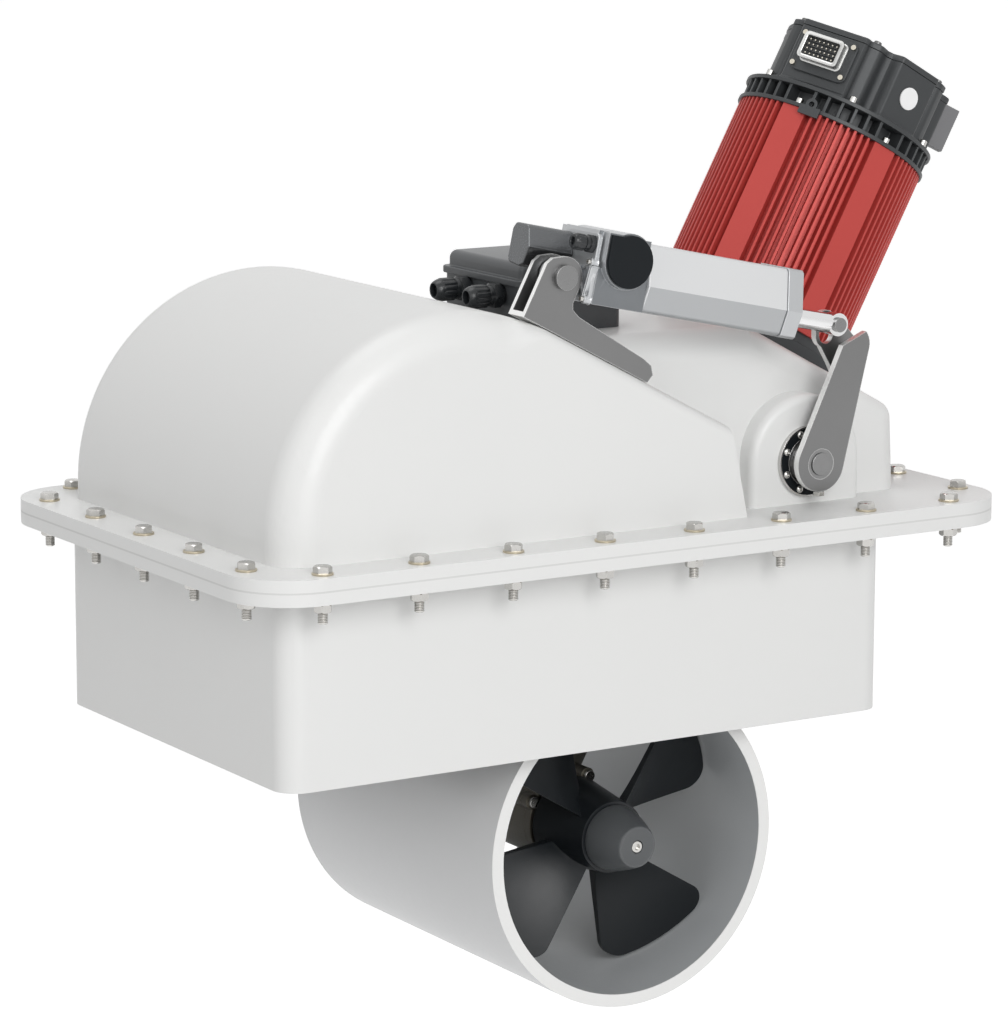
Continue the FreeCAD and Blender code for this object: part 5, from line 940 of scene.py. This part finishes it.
EDGE_ROUNDS = {
    "actuator_bracket": 0.7, "lever_arm": 0.9, "clevis_pin": 0.8, "pivot_bolt": 0.5, "rod_pin": 0.5,
    "actuator_tube": 1.0, "actuator_end_cap": 2.2, "actuator_gearbox": 1.6, "actuator_cap": 0.6,
    "actuator_motor": 1.6, "motor_foot": 1.2, "motor_lower_bell": 1.0, "motor_fin_ring": 0.5,
    "motor_terminal_plate": 0.5, "motor_eyelet_lug": 0.5, "control_box": 0.8, "control_box_lid": 1.2,
    "bearing_rings": 0.5, "bearing_covers": 0.3, "swing_cradle": 1.5, "leg_front_cover": 1.2,
    "leg_rear_cover": 1.2, "gear_leg": 0.8, "leg_cover_bolts": 0.7, "tunnel": 1.2, "hull_skirt": 1.2,
    "motor_blank_disc": 0.2, "actuator_rod": 0.6, "saddle_bolts": 0.5, "bracket_screws": 0.4,
    "motor_foot_screws": 0.5, "lever_clamp_screw": 0.4, "propeller": 0.8,
}


# Floor, light and camera

WORLD_LIGHT = 0.42
FLOOR_DROP = 0.45
FLOOR_GLOW = 0.6
FLOOR_HALF = 30.0
LAMPS = (
    ("key", (-0.7, -3.4, 1.5), 2.2, 66.0),
    ("fill", (-3.0, -1.0, 2.0), 2.5, 15.0),
    ("top", (-0.4, 0.6, 3.2), 2.0, 20.0),
)
PHOTO_LONG_SIDE = 1024
FOCAL_PIXELS = 4244.45
CAMERA_PLACE = (-1.8418, -2.9516, 0.6518)
CAMERA_YAW = -31.909
CAMERA_PITCH = 10.687
CAMERA_ROLL = 0.196


def seen_ray(tree, rays):
    """Value of 1 for rays that show the room: from the camera, off gloss or through glass."""
    first = add_node(tree, "ShaderNodeMath", operation="MAXIMUM")
    both = add_node(tree, "ShaderNodeMath", operation="MAXIMUM")
    link(tree, rays.outputs["Is Camera Ray"], first.inputs[0])
    link(tree, rays.outputs["Is Glossy Ray"], first.inputs[1])
    link(tree, first.outputs[0], both.inputs[0])
    link(tree, rays.outputs["Is Transmission Ray"], both.inputs[1])
    return both.outputs[0]


def studio_world():
    """Even pale light; the camera and reflections see plain white."""
    world = bpy.data.worlds.new("Studio")
    bpy.context.scene.world = world
    world.use_nodes = True
    tree = world.node_tree
    background = tree.nodes["Background"]
    rays = add_node(tree, "ShaderNodeLightPath")
    strength = add_node(tree, "ShaderNodeMapRange", {"To Min": WORLD_LIGHT, "To Max": 1.0})
    link(tree, seen_ray(tree, rays), strength.inputs["Value"])
    background.inputs["Color"].default_value = (1.0, 1.0, 1.0, 1.0)
    link(tree, strength.outputs["Result"], background.inputs["Strength"])


def pale_floor():
    """Wide floor under the thruster that stays white to the camera and still takes its shadow."""
    mesh = bpy.data.meshes.new("floor")
    half = FLOOR_HALF
    height = TUNNEL_BOTTOM - FLOOR_DROP
    corners = [(-half, -half, height), (half, -half, height), (half, half, height), (-half, half, height)]
    mesh.from_pydata(corners, [], [(0, 1, 2, 3)])
    floor = bpy.data.objects.new("floor", mesh)
    bpy.context.scene.collection.objects.link(floor)
    material = bpy.data.materials.new("Pale floor")
    material.use_nodes = True
    tree = material.node_tree
    shader = tree.nodes["Principled BSDF"]
    shader.inputs["Base Color"].default_value = (0.86, 0.86, 0.86, 1.0)
    shader.inputs["Roughness"].default_value = 0.9
    rays = add_node(tree, "ShaderNodeLightPath")
    glow = add_node(tree, "ShaderNodeMath", {1: FLOOR_GLOW}, operation="MULTIPLY")
    link(tree, seen_ray(tree, rays), glow.inputs[0])
    shader.inputs["Emission Color"].default_value = (1.0, 1.0, 1.0, 1.0)
    link(tree, glow.outputs[0], shader.inputs["Emission Strength"])
    mesh.materials.append(material)


def lamp(name, place, size, power):
    """Round lamp that points at the origin."""
    data = bpy.data.lights.new(name, "AREA")
    data.shape = "DISK"
    data.size = size
    data.energy = power
    light = bpy.data.objects.new(name, data)
    light.location = place
    light.rotation_euler = (-Vector(place)).to_track_quat("-Z", "Y").to_euler()
    bpy.context.scene.collection.objects.link(light)


def photo_camera():
    """Camera at the photograph's place, worked out from the bolt pattern."""
    yaw = math.radians(CAMERA_YAW)
    pitch = math.radians(CAMERA_PITCH)
    roll = math.radians(CAMERA_ROLL)
    data = bpy.data.cameras.new("camera")
    data.sensor_width = 36.0
    data.lens = FOCAL_PIXELS * data.sensor_width / PHOTO_LONG_SIDE
    data.clip_end = 100.0
    camera = bpy.data.objects.new("camera", data)
    turn = Euler((math.pi / 2 - pitch, 0, yaw), "XYZ").to_matrix() @ Matrix.Rotation(roll, 3, "Z")
    camera.rotation_euler = turn.to_euler()
    camera.location = CAMERA_PLACE
    bpy.context.scene.collection.objects.link(camera)
    bpy.context.scene.camera = camera


dress_nodes()
flange_fasteners()
bearing_buttons()
motor_cap()
motor_connector()
motor_screws()
propeller_nose()
cable_glands()
actuator_gland()
gear_case_details()
case_screws()
for node_name, width in EDGE_ROUNDS.items():
    softened(node_name, width)
studio_world()
pale_floor()
for lamp_facts in LAMPS:
    lamp(*lamp_facts)
photo_camera()
bpy.context.scene.view_settings.view_transform = "Standard"
